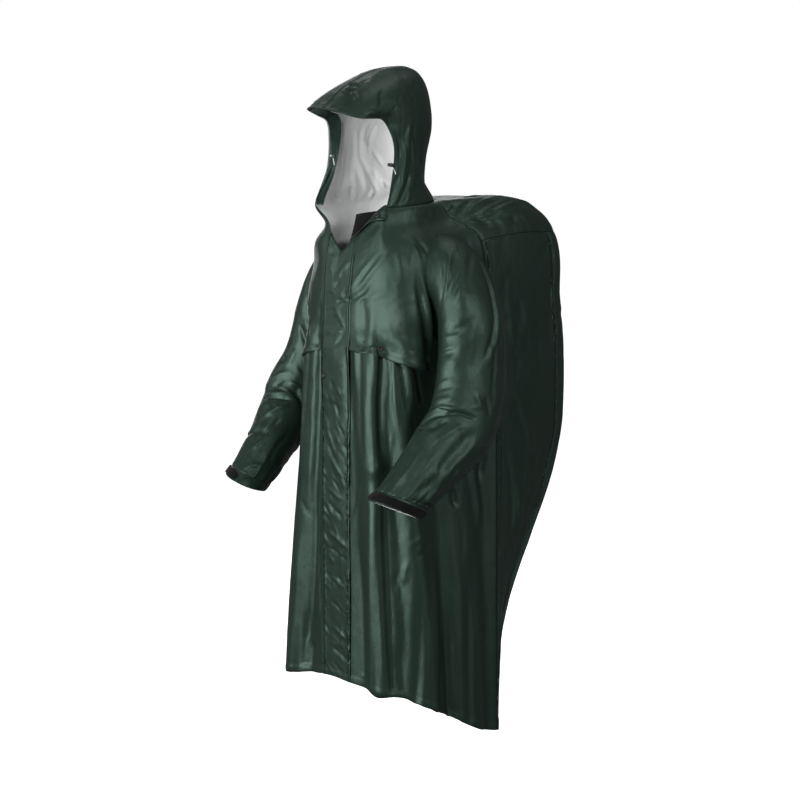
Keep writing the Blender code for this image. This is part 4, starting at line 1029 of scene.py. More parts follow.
LEFT_LOWER_STROKES = [
    Stroke(0.247, 1.873, 0.227, 2.353, 0.01, 0.007, 0.0047, 0.4, 0.0, 0.3),
    Stroke(0.293, 1.9, 0.3, 2.317, -0.01, 0.006, -0.0085, 0.7, 0.0, 0.35),
    Stroke(0.34, 1.903, 0.393, 2.213, 0.0, 0.005, 0.0065, 0.6, 0.0, 0.4),
    Stroke(0.37, 1.913, 0.44, 2.15, -0.01, 0.005, -0.0059, 0.6, 0.0, 0.4),
    Stroke(0.397, 1.92, 0.483, 2.14, -0.01, 0.006, 0.005, 0.5, 0.0, 0.4),
    Stroke(0.45, 1.933, 0.547, 2.127, 0.0, 0.006, -0.0062, 0.5, 0.0, 0.3),
    Stroke(0.197, 1.94, 0.203, 2.307, 0.0, 0.006, -0.0047, 0.5, 0.0, 0.4),
    Stroke(0.167, 1.967, 0.163, 2.123, 0.0, 0.004, 0.0037, 0.6, 0.0, 0.5),
    Stroke(0.303, 2.29, 0.3, 2.977, -0.01, 0.009, -0.0077, 0.3, 0.3, 0.0),
    Stroke(0.253, 2.327, 0.197, 2.987, 0.0, 0.008, 0.0054, 0.4, 0.4, 0.0),
    Stroke(0.263, 2.413, 0.27, 2.983, -0.01, 0.004, 0.0031, 0.7, 0.4, 0.1),
    Stroke(0.187, 2.367, 0.1, 2.523, -0.01, 0.004, 0.0028, 0.8),
    Stroke(0.133, 2.493, 0.133, 2.957, 0.01, 0.006, -0.004, 0.5, 0.4, 0.0),
    Stroke(0.327, 2.687, 0.337, 2.61, 0.0, 0.004, -0.0043, 0.9),
    Stroke(0.373, 2.66, 0.4, 2.57, 0.0, 0.005, 0.0034, 0.6),
    Stroke(0.41, 2.53, 0.51, 2.473, 0.0, 0.004, 0.0024, 0.7),
    Stroke(0.427, 2.567, 0.573, 2.49, 0.0, 0.005, -0.0024, 0.6),
    Stroke(0.577, 2.46, 0.527, 2.997, 0.0, 0.014, 0.0049, 0.3, 0.5, 0.0),
    Stroke(0.457, 2.56, 0.42, 2.993, 0.01, 0.011, -0.0053, 0.3, 0.5, 0.0),
    Stroke(0.707, 2.423, 0.7, 2.99, -0.01, 0.013, 0.0043, 0.3, 0.5, 0.0),
    Stroke(0.633, 2.66, 0.63, 2.987, 0.0, 0.01, -0.0041, 0.3, 0.5, 0.0),
    Stroke(0.833, 2.473, 0.863, 2.983, 0.0, 0.012, 0.0041, 0.3, 0.5, 0.0),
    Stroke(0.77, 2.533, 0.753, 2.983, 0.0, 0.009, -0.0035, 0.3, 0.5, 0.0),
    Stroke(0.697, 2.33, 0.717, 2.397, 0.0, 0.008, -0.0057, 0.4),
    Stroke(0.823, 2.23, 0.877, 2.457, 0.02, 0.009, 0.0054, 0.4),
    Stroke(0.923, 2.19, 0.877, 2.33, 0.01, 0.008, -0.0054, 0.4),
    Stroke(0.347, 2.973, 0.327, 2.823, 0.0, 0.008, -0.0037, 0.4, 0.0, 0.5),
    Stroke(0.063, 2.44, 0.043, 2.953, -0.01, 0.005, 0.0025, 0.5, 0.4, 0.0),
    Stroke(0.26, 1.86, 0.257, 2.383, 0.01, 0.006, 0.007, 0.5, 0.0, 0.3),
    Stroke(0.273, 1.883, 0.263, 2.327, 0.0, 0.03, 0.0065, 0.8, 0.0, 0.0),
    Stroke(0.263, 2.327, 0.24, 2.987, 0.0, 0.03, 0.0075, 0.8, 0.0, 0.0),
]
RIGHT_LOWER_STROKES = [
    Stroke(-0.18, 1.953, -0.197, 2.513, 0.0, 0.008, 0.0058, 0.4, 0.0, 0.3),
    Stroke(-0.09, 2.01, -0.113, 2.637, -0.01, 0.005, -0.0087, 0.7, 0.1, 0.2),
    Stroke(-0.127, 2.513, -0.06, 2.873, -0.01, 0.005, -0.0065, 0.6, 0.3, 0.3),
    Stroke(-0.167, 2.393, -0.187, 2.92, 0.02, 0.005, -0.0058, 0.5, 0.3, 0.1),
    Stroke(-0.22, 1.957, -0.253, 2.297, 0.0, 0.004, -0.0038, 0.7, 0.0, 0.4),
    Stroke(-0.197, 1.97, -0.207, 2.117, 0.0, 0.0035, 0.0032, 0.7, 0.0, 0.4),
    Stroke(-0.163, 1.967, -0.167, 2.127, 0.0, 0.0035, -0.0032, 0.7, 0.0, 0.4),
    Stroke(-0.263, 2.007, -0.27, 2.233, 0.0, 0.005, 0.0035, 0.5, 0.0, 0.4),
    Stroke(-0.25, 2.44, -0.183, 2.51, 0.0, 0.004, -0.0026, 0.8),
    Stroke(-0.237, 2.513, -0.283, 2.987, 0.0, 0.009, 0.0043, 0.3, 0.4, 0.0),
    Stroke(-0.19, 2.763, -0.2, 2.97, 0.0, 0.007, -0.0052, 0.4, 0.4, 0.0),
    Stroke(-0.16, 2.887, -0.17, 2.973, 0.0, 0.008, -0.0049, 0.4, 0.4, 0.0),
    Stroke(-0.073, 2.633, -0.07, 2.96, 0.0, 0.005, 0.0038, 0.5, 0.4, 0.0),
    Stroke(-0.257, 2.64, -0.28, 2.897, 0.0, 0.006, -0.0032, 0.4),
]
FLAP_STROKES = [
    Stroke(0.127, 0.547, -0.003, 0.747, 0.02, 0.008, 0.0032, 0.4),
    Stroke(0.097, 0.637, -0.013, 0.82, 0.0, 0.006, -0.0026, 0.6),
    Stroke(0.13, 0.793, 0.02, 1.13, 0.0, 0.005, -0.0022, 0.7),
    Stroke(-0.023, 1.017, 0.107, 1.587, 0.0, 0.005, 0.0018, 0.6),
    Stroke(0.12, 1.577, 0.017, 2.01, 0.0, 0.005, -0.0018, 0.6),
    Stroke(0.11, 2.003, 0.1, 2.23, 0.01, 0.004, -0.003, 0.6, 0.2, 0.3),
    Stroke(-0.063, 2.227, 0.013, 2.31, 0.0, 0.004, 0.0024, 0.7),
    Stroke(-0.027, 2.313, 0.063, 2.383, 0.0, 0.004, 0.0026, 0.7),
    Stroke(-0.043, 2.41, 0.05, 2.443, 0.0, 0.004, 0.0024, 0.7),
    Stroke(-0.043, 2.537, 0.087, 2.587, 0.0, 0.005, 0.0032, 0.6),
    Stroke(-0.06, 2.27, 0.04, 2.353, 0.0, 0.004, -0.002, 0.7),
    Stroke(-0.043, 2.45, 0.063, 2.507, 0.0, 0.004, -0.0024, 0.7),
    Stroke(-0.037, 2.583, 0.073, 2.623, 0.0, 0.004, -0.0024, 0.7),
    Stroke(-0.03, 2.673, 0.057, 2.707, 0.0, 0.004, 0.0022, 0.7),
    Stroke(-0.023, 2.747, 0.06, 2.79, 0.0, 0.004, -0.0022, 0.7),
    Stroke(-0.017, 2.827, 0.063, 2.87, 0.0, 0.004, 0.0024, 0.6),
    Stroke(-0.02, 2.897, 0.067, 2.94, 0.0, 0.005, -0.0022, 0.6),
]
TOP_STROKES = [
    Stroke(0.91, 0.357, 1.037, 0.537, -0.05, 0.005, -0.0036, 0.7),
    Stroke(1.037, 0.537, 1.64, 0.52, -0.07, 0.005, -0.0036, 0.7),
    Stroke(1.197, 0.503, 1.92, 0.363, 0.02, 0.005, -0.0034, 0.7),
    Stroke(1.1, 0.483, 1.873, 0.3, 0.05, 0.005, 0.0034, 0.6),
    Stroke(1.5, 0.513, 1.95, 0.43, -0.01, 0.005, 0.0032, 0.6),
    Stroke(1.313, 0.507, 1.937, 0.403, 0.05, 0.004, 0.003, 0.7),
    Stroke(0.99, 0.453, 1.533, 0.253, 0.12, 0.005, 0.003, 0.6),
    Stroke(0.96, 0.413, 1.1, 0.293, 0.0, 0.005, -0.0026, 0.6),
    Stroke(1.867, 0.493, 1.967, 0.503, 0.0, 0.006, -0.0026, 0.5),
    Stroke(0.973, 0.297, 1.19, 0.203, 0.0, 0.004, 0.0024, 0.6),
    Stroke(1.023, 0.603, 1.887, 0.703, 0.05, 0.01, -0.0024, 0.3),
    Stroke(0.893, 0.527, 0.92, 0.627, 0.0, 0.006, -0.003, 0.5),
]
LEFT_GUSSET_STROKES = [
    Stroke(1.29, 0.8, 1.287, 1.783, 0.01, 0.009, 0.0024, 0.4),
    Stroke(1.983, 0.787, 1.773, 0.86, 0.0, 0.009, -0.0028, 0.4),
    Stroke(1.443, 0.987, 1.46, 1.503, 0.0, 0.008, -0.002, 0.4),
    Stroke(1.223, 2.04, 1.76, 2.327, 0.0, 0.01, 0.0024, 0.3),
    Stroke(1.633, 1.51, 1.687, 2.103, 0.0, 0.012, -0.0022, 0.3),
    Stroke(1.09, 2.203, 1.493, 2.643, 0.02, 0.007, -0.0024, 0.4),
    Stroke(1.953, 1.09, 1.977, 1.98, 0.0, 0.008, 0.002, 0.4),
    Stroke(1.263, 2.287, 1.71, 2.487, 0.0, 0.009, 0.0022, 0.3),
    Stroke(1.793, 2.217, 1.8, 2.38, 0.0, 0.009, -0.0022, 0.3),
]
LEFT_ARM_STROKES = [
    Stroke(0.12, 0.055, 0.283, 0.139, -0.03, 0.004, -0.0036, 0.9),
    Stroke(0.07, 0.048, 0.275, 0.132, -0.05, 0.004, 0.0032, 0.8),
    Stroke(0.018, 0.044, 0.24, 0.136, -0.03, 0.004, -0.003, 0.8),
    Stroke(0.963, 0.037, 1.208, 0.11, 0.02, 0.004, 0.0028, 0.8),
    Stroke(0.068, 0.099, 0.185, 0.139, -0.01, 0.004, -0.0036, 0.9),
    Stroke(0.03, 0.092, 0.173, 0.158, -0.02, 0.004, 0.0024, 0.7),
    Stroke(0.935, 0.055, 1.1, 0.125, -0.06, 0.005, -0.003, 0.8),
    Stroke(0.93, 0.055, 1.058, 0.384, -0.01, 0.005, -0.0038, 0.7, 0.2, 0.4),
    Stroke(0.917, 0.07, 1.028, 0.392, -0.01, 0.005, 0.003, 0.6, 0.3, 0.4),
    Stroke(0.007, 0.161, -0.03, 0.497, -0.02, 0.0045, -0.0032, 0.7),
    Stroke(0.927, 0.059, 0.95, 0.161, -0.02, 0.005, 0.0028, 0.6),
    Stroke(0.912, 0.095, 0.917, 0.136, 0.0, 0.0045, -0.0032, 0.7),
    Stroke(0.95, 0.158, 0.917, 0.372, -0.02, 0.005, 0.0032, 0.6),
    Stroke(0.07, 0.154, 0.083, 0.438, -0.02, 0.009, -0.0022, 0.3),
    Stroke(0.098, 0.128, 0.135, 0.172, 0.0, 0.014, 0.0022, 0.2),
    Stroke(0.23, 0.232, 0.058, 0.187, 0.02, 0.007, -0.0032, 0.4),
    Stroke(0.312, 0.198, 0.2, 0.194, 0.0, 0.005, 0.001, 0.6),
    Stroke(0.31, 0.251, 0.13, 0.236, 0.0, 0.005, 0.0015, 0.6),
    Stroke(0.302, 0.306, 0.175, 0.275, 0.04, 0.0045, 0.0013, 0.7),
    Stroke(0.3, 0.329, 0.158, 0.298, 0.01, 0.007, -0.0018, 0.4),
    Stroke(0.285, 0.434, 0.145, 0.325, 0.04, 0.014, 0.0022, 0.2),
    Stroke(0.288, 0.481, 0.155, 0.438, 0.02, 0.0045, 0.0013, 0.7),
    Stroke(0.285, 0.505, 0.105, 0.454, 0.03, 0.005, -0.0018, 0.6),
    Stroke(0.28, 0.579, 0.103, 0.52, -0.04, 0.007, 0.003, 0.4),
    Stroke(0.24, 0.747, 0.12, 0.657, -0.05, 0.005, -0.005, 0.9, 0.1, 0.1),
    Stroke(0.12, 0.657, 0.003, 0.583, -0.12, 0.005, -0.0046, 0.9, 0.1, 0.3),
    Stroke(0.16, 0.766, 0.095, 0.672, -0.01, 0.007, -0.0046, 0.5),
    Stroke(0.25, 0.723, 0.07, 0.551, -0.06, 0.006, 0.0036, 0.6),
    Stroke(0.24, 0.75, 0.188, 0.766, 0.0, 0.004, -0.003, 0.8),
    Stroke(0.97, 0.614, 0.955, 0.86, 0.04, 0.011, -0.005, 0.4, 0.3, 0.2),
    Stroke(0.958, 0.848, 0.988, 0.961, -0.06, 0.008, -0.004, 0.4),
    Stroke(0.927, 0.641, 0.905, 0.887, 0.02, 0.007, 0.0042, 0.5),
    Stroke(0.905, 0.887, 0.895, 0.988, -0.03, 0.006, 0.0034, 0.5),
    Stroke(0.015, 0.63, 0.072, 0.817, 0.06, 0.006, 0.0034, 0.5),
    Stroke(0.115, 0.809, 0.11, 0.965, -0.04, 0.007, 0.0028, 0.4),
    Stroke(0.188, 0.797, 0.18, 0.977, -0.01, 0.006, -0.0026, 0.5),
    Stroke(0.04, 0.789, 0.05, 0.957, -0.02, 0.006, 0.002, 0.5),
    Stroke(0.495, 0.965, 0.605, 0.981, 0.02, 0.0035, -0.0026, 0.8, 0.2, 0.0),
    Stroke(0.013, 0.992, -0.335, 0.969, 0.0, 0.004, -0.0028, 0.7, 0.3, 0.0),
    Stroke(0.925, 0.961, 0.708, 0.981, 0.0, 0.005, 0.0028, 0.5, 0.3, 0.0),
    Stroke(0.307, 1.0, 0.41, 1.0, 0.0, 0.004, -0.0024, 0.7, 0.3, 0.0),
    Stroke(0.175, 1.0, 0.473, 0.988, 0.0, 0.004, 0.0024, 0.6, 0.3, 0.0),
    Stroke(0.052, 0.474, 0.0, 0.551, 0.0, 0.006, 0.0028, 0.5),
    Stroke(0.005, 0.47, -0.052, 0.563, 0.0, 0.005, -0.003, 0.6),
    Stroke(0.948, 0.423, 0.935, 0.532, 0.0, 0.005, 0.0026, 0.6),
]
RIGHT_ARM_STROKES = [
    Stroke(0.255, 0.224, 0.343, 0.329, 0.01, 0.005, -0.0046, 0.7, 0.3, 0.1),
    Stroke(0.278, 0.187, 0.34, 0.275, 0.0, 0.005, 0.003, 0.6),
    Stroke(0.205, 0.302, 0.18, 0.353, 0.0, 0.008, -0.0034, 0.4),
    Stroke(0.205, 0.403, 0.21, 0.458, 0.0, 0.007, -0.0034, 0.4),
    Stroke(0.268, 0.333, 0.258, 0.466, 0.0, 0.006, 0.0028, 0.5),
    Stroke(0.295, 0.497, 0.175, 0.653, -0.05, 0.005, -0.0044, 0.8),
    Stroke(0.3, 0.47, 0.135, 0.598, -0.1, 0.005, 0.0036, 0.6),
    Stroke(0.3, 0.516, 0.38, 0.528, -0.04, 0.005, 0.0034, 0.7),
    Stroke(0.3, 0.544, 0.432, 0.727, 0.0, 0.006, -0.004, 0.6),
    Stroke(0.113, 0.684, 0.315, 0.672, -0.16, 0.005, -0.005, 0.8, 0.2, 0.2),
    Stroke(0.105, 0.688, 0.285, 0.649, -0.04, 0.005, 0.0034, 0.6),
    Stroke(0.16, 0.828, 0.33, 0.692, -0.01, 0.006, 0.0042, 0.6),
    Stroke(0.228, 0.906, 0.307, 0.77, -0.03, 0.005, -0.0042, 0.7),
    Stroke(0.203, 0.93, 0.302, 0.793, -0.07, 0.005, 0.0034, 0.6),
    Stroke(0.915, 0.895, 1.345, 0.844, 0.06, 0.007, -0.003, 0.5),
    Stroke(0.258, 1.0, 0.432, 0.957, 0.29, 0.005, 0.0028, 0.6),
    Stroke(0.848, 0.902, 0.482, 0.981, 0.39, 0.005, -0.0028, 0.6),
    Stroke(0.953, 0.949, 0.917, 1.0, 0.0, 0.006, 0.0028, 0.4, 0.3, 0.0),
    Stroke(0.88, 0.942, 0.84, 0.992, 0.0, 0.004, -0.0026, 0.6, 0.3, 0.0),
    Stroke(0.44, 0.825, 0.52, 0.996, -0.01, 0.007, 0.0028, 0.4),
    Stroke(0.775, 0.926, 0.725, 1.0, 0.0, 0.004, 0.0024, 0.6, 0.3, 0.0),
    Stroke(0.758, 0.902, 0.65, 1.0, 0.0, 0.004, -0.0024, 0.6, 0.3, 0.0),
    Stroke(0.235, 0.114, 0.255, 0.205, 0.0, 0.007, 0.0024, 0.4),
    Stroke(0.203, 0.066, 0.253, 0.125, 0.0, 0.006, -0.0024, 0.5),
    Stroke(0.228, 0.493, 0.17, 0.532, 0.0, 0.004, -0.0024, 0.8),
]
HOOD_LEFT_STROKES = [
    Stroke(0.163, 0.99, 0.155, 0.815, -0.05, 0.0035, -0.0064, 0.9),
    Stroke(0.155, 0.945, 0.23, 0.932, 0.05, 0.0035, -0.0055, 0.9),
    Stroke(0.208, 0.985, 0.217, 0.945, 0.0, 0.004, 0.0055, 0.7),
    Stroke(0.193, 0.885, 0.238, 0.893, 0.0, 0.0035, 0.0055, 0.7),
    Stroke(0.143, 0.87, 0.113, 0.763, 0.0, 0.0035, 0.0046, 0.7),
    Stroke(0.163, 0.985, 0.133, 0.868, 0.0, 0.0035, 0.0041, 0.7),
    Stroke(0.013, 0.583, 0.0, 0.43, -0.05, 0.004, -0.0028, 0.8),
    Stroke(0.048, 0.623, 0.037, 0.432, -0.07, 0.004, 0.0022, 0.6),
    Stroke(0.0, 0.667, 0.0, 0.478, 0.0, 0.004, 0.0018, 0.6),
    Stroke(0.275, 0.723, 0.135, 0.527, 0.0, 0.007, -0.0018, 0.4),
    Stroke(0.022, 0.315, 0.173, 0.138, -0.04, 0.004, -0.0018, 0.7),
    Stroke(0.198, 0.138, 0.09, 0.0, -0.02, 0.005, -0.0025, 0.6, 0.2, 0.0),
    Stroke(0.217, 0.27, 0.333, 0.133, -0.04, 0.006, 0.0018, 0.5),
    Stroke(0.333, 0.133, 0.173, 0.0, 0.0, 0.006, 0.0023, 0.5, 0.2, 0.0),
    Stroke(0.455, 0.312, 0.44, 0.14, -0.06, 0.005, -0.002, 0.7),
    Stroke(0.443, 0.15, 0.28, 0.0, 0.01, 0.005, -0.0031, 0.7, 0.1, 0.0),
    Stroke(0.552, 0.28, 0.408, 0.052, -0.07, 0.005, 0.002, 0.6),
    Stroke(0.43, 0.077, 0.338, 0.0, 0.0, 0.005, 0.002, 0.6, 0.2, 0.0),
    Stroke(0.665, 0.247, 0.48, 0.052, -0.02, 0.005, -0.0019, 0.6),
    Stroke(0.09, 0.33, 0.163, 0.263, 0.0, 0.006, 0.0012, 0.5),
    Stroke(0.09, 0.427, 0.035, 0.305, 0.0, 0.005, -0.0018, 0.6),
    Stroke(0.258, 0.905, 0.475, 0.863, -0.04, 0.009, 0.0018, 0.3),
    Stroke(0.203, 0.9, 0.275, 0.888, 0.0, 0.005, -0.0018, 0.6),
]
HOOD_RIGHT_STROKES = [
    Stroke(0.495, 0.445, 0.482, 0.103, -0.04, 0.006, 0.0042, 0.4),
    Stroke(0.357, 0.41, 0.39, 0.133, 0.02, 0.006, -0.0036, 0.4),
    Stroke(0.403, 0.31, 0.44, 0.12, 0.0, 0.005, 0.003, 0.5),
    Stroke(0.39, 0.075, 0.427, 0.0, 0.04, 0.005, 0.0045, 0.6),
    Stroke(0.357, 0.04, 0.388, 0.0, 0.0, 0.004, -0.0039, 0.6),
    Stroke(0.29, 0.41, 0.233, 0.27, 0.0, 0.005, 0.0036, 0.5),
    Stroke(0.58, 0.247, 0.763, 0.043, 0.0, 0.006, 0.0054, 0.5),
    Stroke(0.795, 0.422, 0.907, 0.468, 0.0, 0.005, 0.0042, 0.5),
    Stroke(0.66, 0.458, 0.713, 0.297, 0.0, 0.007, -0.0042, 0.4),
    Stroke(0.893, 0.297, 0.878, 0.122, 0.0, 0.004, -0.0039, 0.5),
    Stroke(0.482, 0.095, 0.503, 0.013, 0.0, 0.005, 0.0042, 0.5),
    Stroke(0.688, 0.085, 0.585, 0.013, 0.0, 0.005, -0.0039, 0.5),
]

# Crowds of small creases, by piece, scattered by a seeded generator. The back panel and the right
# gusset have no creases listed one by one.
CROWDS = {
    "chest_yoke_left": [
        Crowd(11, 16, 0.22, 0.9, 0.25, 1.05, -0.45, 0.25, 0.2, 0.006, 0.0014, 0.6, 0.5),
        Crowd(12, 7, 0.45, 0.95, 1.05, 1.95, -0.1, 0.3, 0.28, 0.008, 0.001, 0.4, 0.5),
    ],
    "chest_yoke_right": [
        Crowd(13, 26, -0.9, -0.22, 0.25, 1.25, 0.45, 0.25, 0.2, 0.005, 0.0018, 0.7, 0.5),
        Crowd(14, 22, -0.95, -0.14, 1.05, 1.95, 0.1, 0.3, 0.28, 0.006, 0.0018, 0.5, 0.5),
    ],
    "lower_front_left": [
        Crowd(21, 30, 0.14, 0.62, 2.0, 2.22, 0.1, 0.15, 0.16, 0.004, 0.0014, 0.7, 0.5),
        Crowd(22, 22, 0.15, 0.98, 2.2, 2.95, 0.05, 0.2, 0.2, 0.006, 0.0012, 0.6, 0.5),
    ],
    "lower_front_right": [
        Crowd(23, 34, -0.66, -0.12, 2.0, 2.26, -0.1, 0.15, 0.16, 0.004, 0.0018, 0.7, 0.5),
        Crowd(24, 24, -0.98, -0.15, 2.2, 2.95, -0.05, 0.2, 0.2, 0.006, 0.0014, 0.6, 0.5),
    ],
    "storm_flap": [
        Crowd(31, 44, -0.085, 0.015, 2.1, 2.98, 1.1, 0.3, 0.06, 0.0034, 0.0017, 0.7, 0.5),
        Crowd(32, 44, 0.01, 0.115, 2.1, 2.98, 1.1, 0.3, 0.06, 0.0034, 0.0017, 0.7, 0.5),
        Crowd(33, 16, -0.085, 0.115, 0.35, 2.05, 0.4, 0.6, 0.1, 0.0042, 0.0014, 0.7, 0.5),
    ],
    "back_top": [
        Crowd(41, 30, 1.1, 2.2, 0.3, 0.72, 0.8, 1.0, 0.16, 0.006, 0.002, 0.6, 0.5),
        Crowd(42, 30, 3.8, 4.9, 0.3, 0.72, -0.8, 1.0, 0.16, 0.006, 0.002, 0.6, 0.5),
        Crowd(43, 34, 2.0, 4.0, 0.05, 0.7, 0.0, 1.2, 0.2, 0.007, 0.002, 0.6, 0.5),
    ],
    "bulge_gusset_left": [
        Crowd(51, 16, 1.05, 1.95, 0.8, 2.2, 0.1, 0.4, 0.22, 0.009, 0.0015, 0.4, 0.5),
        Crowd(52, 18, 1.05, 1.95, 2.2, 2.95, 0.05, 0.25, 0.22, 0.009, 0.0018, 0.4, 0.5),
    ],
    "bulge_gusset_right": [
        Crowd(53, 20, -1.95, -1.05, 0.8, 2.2, -0.1, 0.4, 0.22, 0.009, 0.0018, 0.4, 0.5),
        Crowd(54, 18, -1.95, -1.05, 2.2, 2.95, -0.05, 0.25, 0.22, 0.009, 0.0018, 0.4, 0.5),
    ],
    "back_panel": [
        Crowd(61, 34, 2.05, 3.95, 0.75, 1.6, 0.0, 0.9, 0.26, 0.008, 0.0018, 0.5, 0.5),
        Crowd(62, 46, 2.05, 3.95, 1.8, 2.95, 0.0, 0.3, 0.26, 0.008, 0.002, 0.5, 0.5),
    ],
    "sleeve_left": [
        Crowd(71, 30, 0.36, 0.8, 0.02, 0.34, 0.2, 0.5, 0.13, 0.0045, 0.002, 0.7, 0.5),
        Crowd(72, 26, 0.4, 0.95, 0.5, 0.78, 1.2, 1.0, 0.13, 0.005, 0.0026, 0.8, 0.5),
        Crowd(73, 30, 0.3, 0.98, 0.76, 0.96, -0.6, 0.6, 0.1, 0.0045, 0.002, 0.6, 0.5),
        Crowd(74, 8, 0.0, 0.34, 0.44, 0.94, 0.8, 0.8, 0.07, 0.0046, 0.001, 0.6, 0.5),
    ],
    "sleeve_right": [
        Crowd(75, 34, 0.36, 0.98, 0.02, 0.34, 0.2, 0.5, 0.13, 0.0045, 0.002, 0.7, 0.5),
        Crowd(76, 36, 0.34, 1.0, 0.5, 0.78, 1.2, 1.0, 0.13, 0.005, 0.0026, 0.8, 0.5),
        Crowd(77, 30, 0.34, 1.0, 0.76, 0.96, -0.6, 0.6, 0.1, 0.0045, 0.002, 0.6, 0.5),
        Crowd(78, 24, 0.0, 0.4, 0.3, 0.94, 0.8, 0.8, 0.07, 0.0038, 0.0014, 0.7, 0.5),
    ],
    "hood_panel_left": [
        Crowd(81, 16, 0.1, 0.6, 0.45, 0.92, 0.5, 1.0, 0.08, 0.0036, 0.001, 0.7, 0.5),
        Crowd(82, 26, 0.1, 0.95, 0.03, 0.4, 0.2, 0.4, 0.16, 0.0042, 0.0016, 0.7, 0.5),
    ],
    "hood_panel_right": [
        Crowd(83, 22, 0.05, 0.6, 0.45, 0.92, 0.5, 1.0, 0.08, 0.0036, 0.0012, 0.7, 0.5),
        Crowd(84, 40, 0.15, 0.95, 0.03, 0.5, 0.1, 0.3, 0.2, 0.0055, 0.0024, 0.6, 0.5),
    ],
}

# The cloth's own unrest, by piece.
UNREST = {
    "chest": [Unrest(3, 0.050, 0.110, 0.0007, 0.4), Unrest(4, 0.020, 0.050, 0.0002, 0.5)],
    "skirt": [Unrest(5, 0.045, 0.300, 0.0020, 0.3), Unrest(6, 0.020, 0.110, 0.0005, 0.5)],
    "flap": [Unrest(7, 0.030, 0.060, 0.0012, 0.4), Unrest(8, 0.014, 0.022, 0.0004, 0.5)],
    "bulge": [Unrest(9, 0.090, 0.170, 0.0024, 0.3), Unrest(10, 0.032, 0.060, 0.0006, 0.5)],
    "arm": [Unrest(12, 0.048, 0.060, 0.0012, 0.4), Unrest(13, 0.020, 0.028, 0.0002, 0.5)],
    "hood": [Unrest(14, 0.060, 0.080, 0.0010, 0.3), Unrest(15, 0.022, 0.034, 0.0003, 0.5)],
}


# ---------------------------------------------------------------- grids

EDGE_STEPS = (0.0025, 0.0065)


def edged(count, length):
    """Shares from 0 to 1 in even steps, with two more close to each end."""
    near = np.array(EDGE_STEPS) / length
    return np.concatenate([[0.0], near, np.linspace(0.0, 1.0, count + 1)[1:-1], 1.0 - near[::-1], [1.0]])


def levels_of(*spans):
    """Levels from spans of start, end, count."""
    parts = [np.linspace(start, end, count + 1)[:-1] for start, end, count in spans]
    return np.concatenate(parts + [[spans[-1][1]]])[:, None]


def run_lengths(points):
    """Distance along the rows and along the columns of a grid, from its first corner."""
    right = np.linalg.norm(np.diff(points, axis=1), axis=-1)
    down = np.linalg.norm(np.diff(points, axis=0), axis=-1)
    right = np.concatenate([np.zeros((len(points), 1)), np.cumsum(right, axis=1)], axis=1)
    down = np.concatenate([np.zeros((1, points.shape[1])), np.cumsum(down, axis=0)], axis=0)
    return right, down


SEAM_DIP = 0.0005
SEAM_REACH = 0.0030
SEAM_CALM = 0.011
PUCKER = 0.00075
PUCKER_REACH = 0.013
PUCKER_SIZE = 0.0085
HEM_DEPTH = 0.013
HEM_LIFT = 0.0009
HEM_STEP = 0.002
HEM_PUCKER = 0.6
HEM_PUCKER_REACH = 0.008


def border_gaps(points, borders):
    """Distance of each point from the named borders of a grid, one layer for each border."""
    right, down = run_lengths(points)
    gaps = {"first": right, "last": right[:, -1:] - right, "top": down, "bottom": down[-1:] - down}
    return np.stack([gaps[name] for name in borders]) if borders else np.full((1, *points.shape[:2]), 1.0)


def finished(points, height, seams, hems=(), joins=()):
    """Height of the cloth with its sewn borders: calm and dipped at a seam, with puckers that agree
    with those of the piece beyond, calm alone where it runs on into the next piece, and doubled at
    a hem."""
    if joins:
        height = height * smooth(0.0, SEAM_CALM, border_gaps(points, joins).min(axis=0))
    gap = border_gaps(points, seams).min(axis=0)
    height = height * smooth(0.0, SEAM_CALM, gap)
    height = height - SEAM_DIP * np.exp(-(gap / SEAM_REACH) ** 2)
    height = height + PUCKER * lattice_noise(points / PUCKER_SIZE, 77) * np.exp(-gap / PUCKER_REACH)
    if hems:
        hem = border_gaps(points, hems).min(axis=0)
        height = height + HEM_LIFT * (1.0 - smooth(HEM_DEPTH, HEM_DEPTH + HEM_STEP, hem))
        height = height + HEM_PUCKER * PUCKER * lattice_noise(points / PUCKER_SIZE, 78) * np.exp(
            -np.abs(hem - HEM_DEPTH) / HEM_PUCKER_REACH)
    return height


def cloth_height(name, points, surface, strokes, unrest):
    """Creases, crowds and unrest of one piece."""
    height = restless(points, UNREST[unrest])
    return height + pressed(points, surface, list(strokes) + scattered(CROWDS.get(name, ())))


def body_grid(name, turns, levels, lift=0.0, strokes=(), seams=(), hems=("bottom",), unrest="skirt",
              joins=()):
    """Outer points of a body piece, with its folds, creases, seams and hems."""
    turns, levels = np.broadcast_arrays(turns, levels)
    normals = normals_of(body, turns, levels)
    points = body(turns, levels)
    height = finished(points, cloth_height(name, points, body, strokes, unrest), seams, hems, joins)
    return points + normals * (height + lift)[..., None]


# ---------------------------------------------------------------- body pieces

ZIP_EDGE = 0.0033
UNDER_FLAP_SINK = 0.0022
UNDER_FLAP_EASE = 0.035
UNDERLAP_SINK = 0.003


def front_turns(side, levels, shares):
    """Turns of a front piece from beside the zip to the side edge."""
    start = turn_at_x(np.full_like(levels, ZIP_EDGE), levels)
    return side * (start + (1.0 - start) * shares[None, :])


def under_flap(turns, levels):
    """1 where the storm flap covers the fronts, easing out at its edges."""
    left = turn_at_x(np.full(np.shape(levels), FLAP_LEFT_X), levels)
    right = turn_at_x(np.full(np.shape(levels), -FLAP_RIGHT_X), levels)
    edge = np.where(turns > 0.0, left, right)
    return smooth(0.0, UNDER_FLAP_EASE, edge - np.abs(turns))


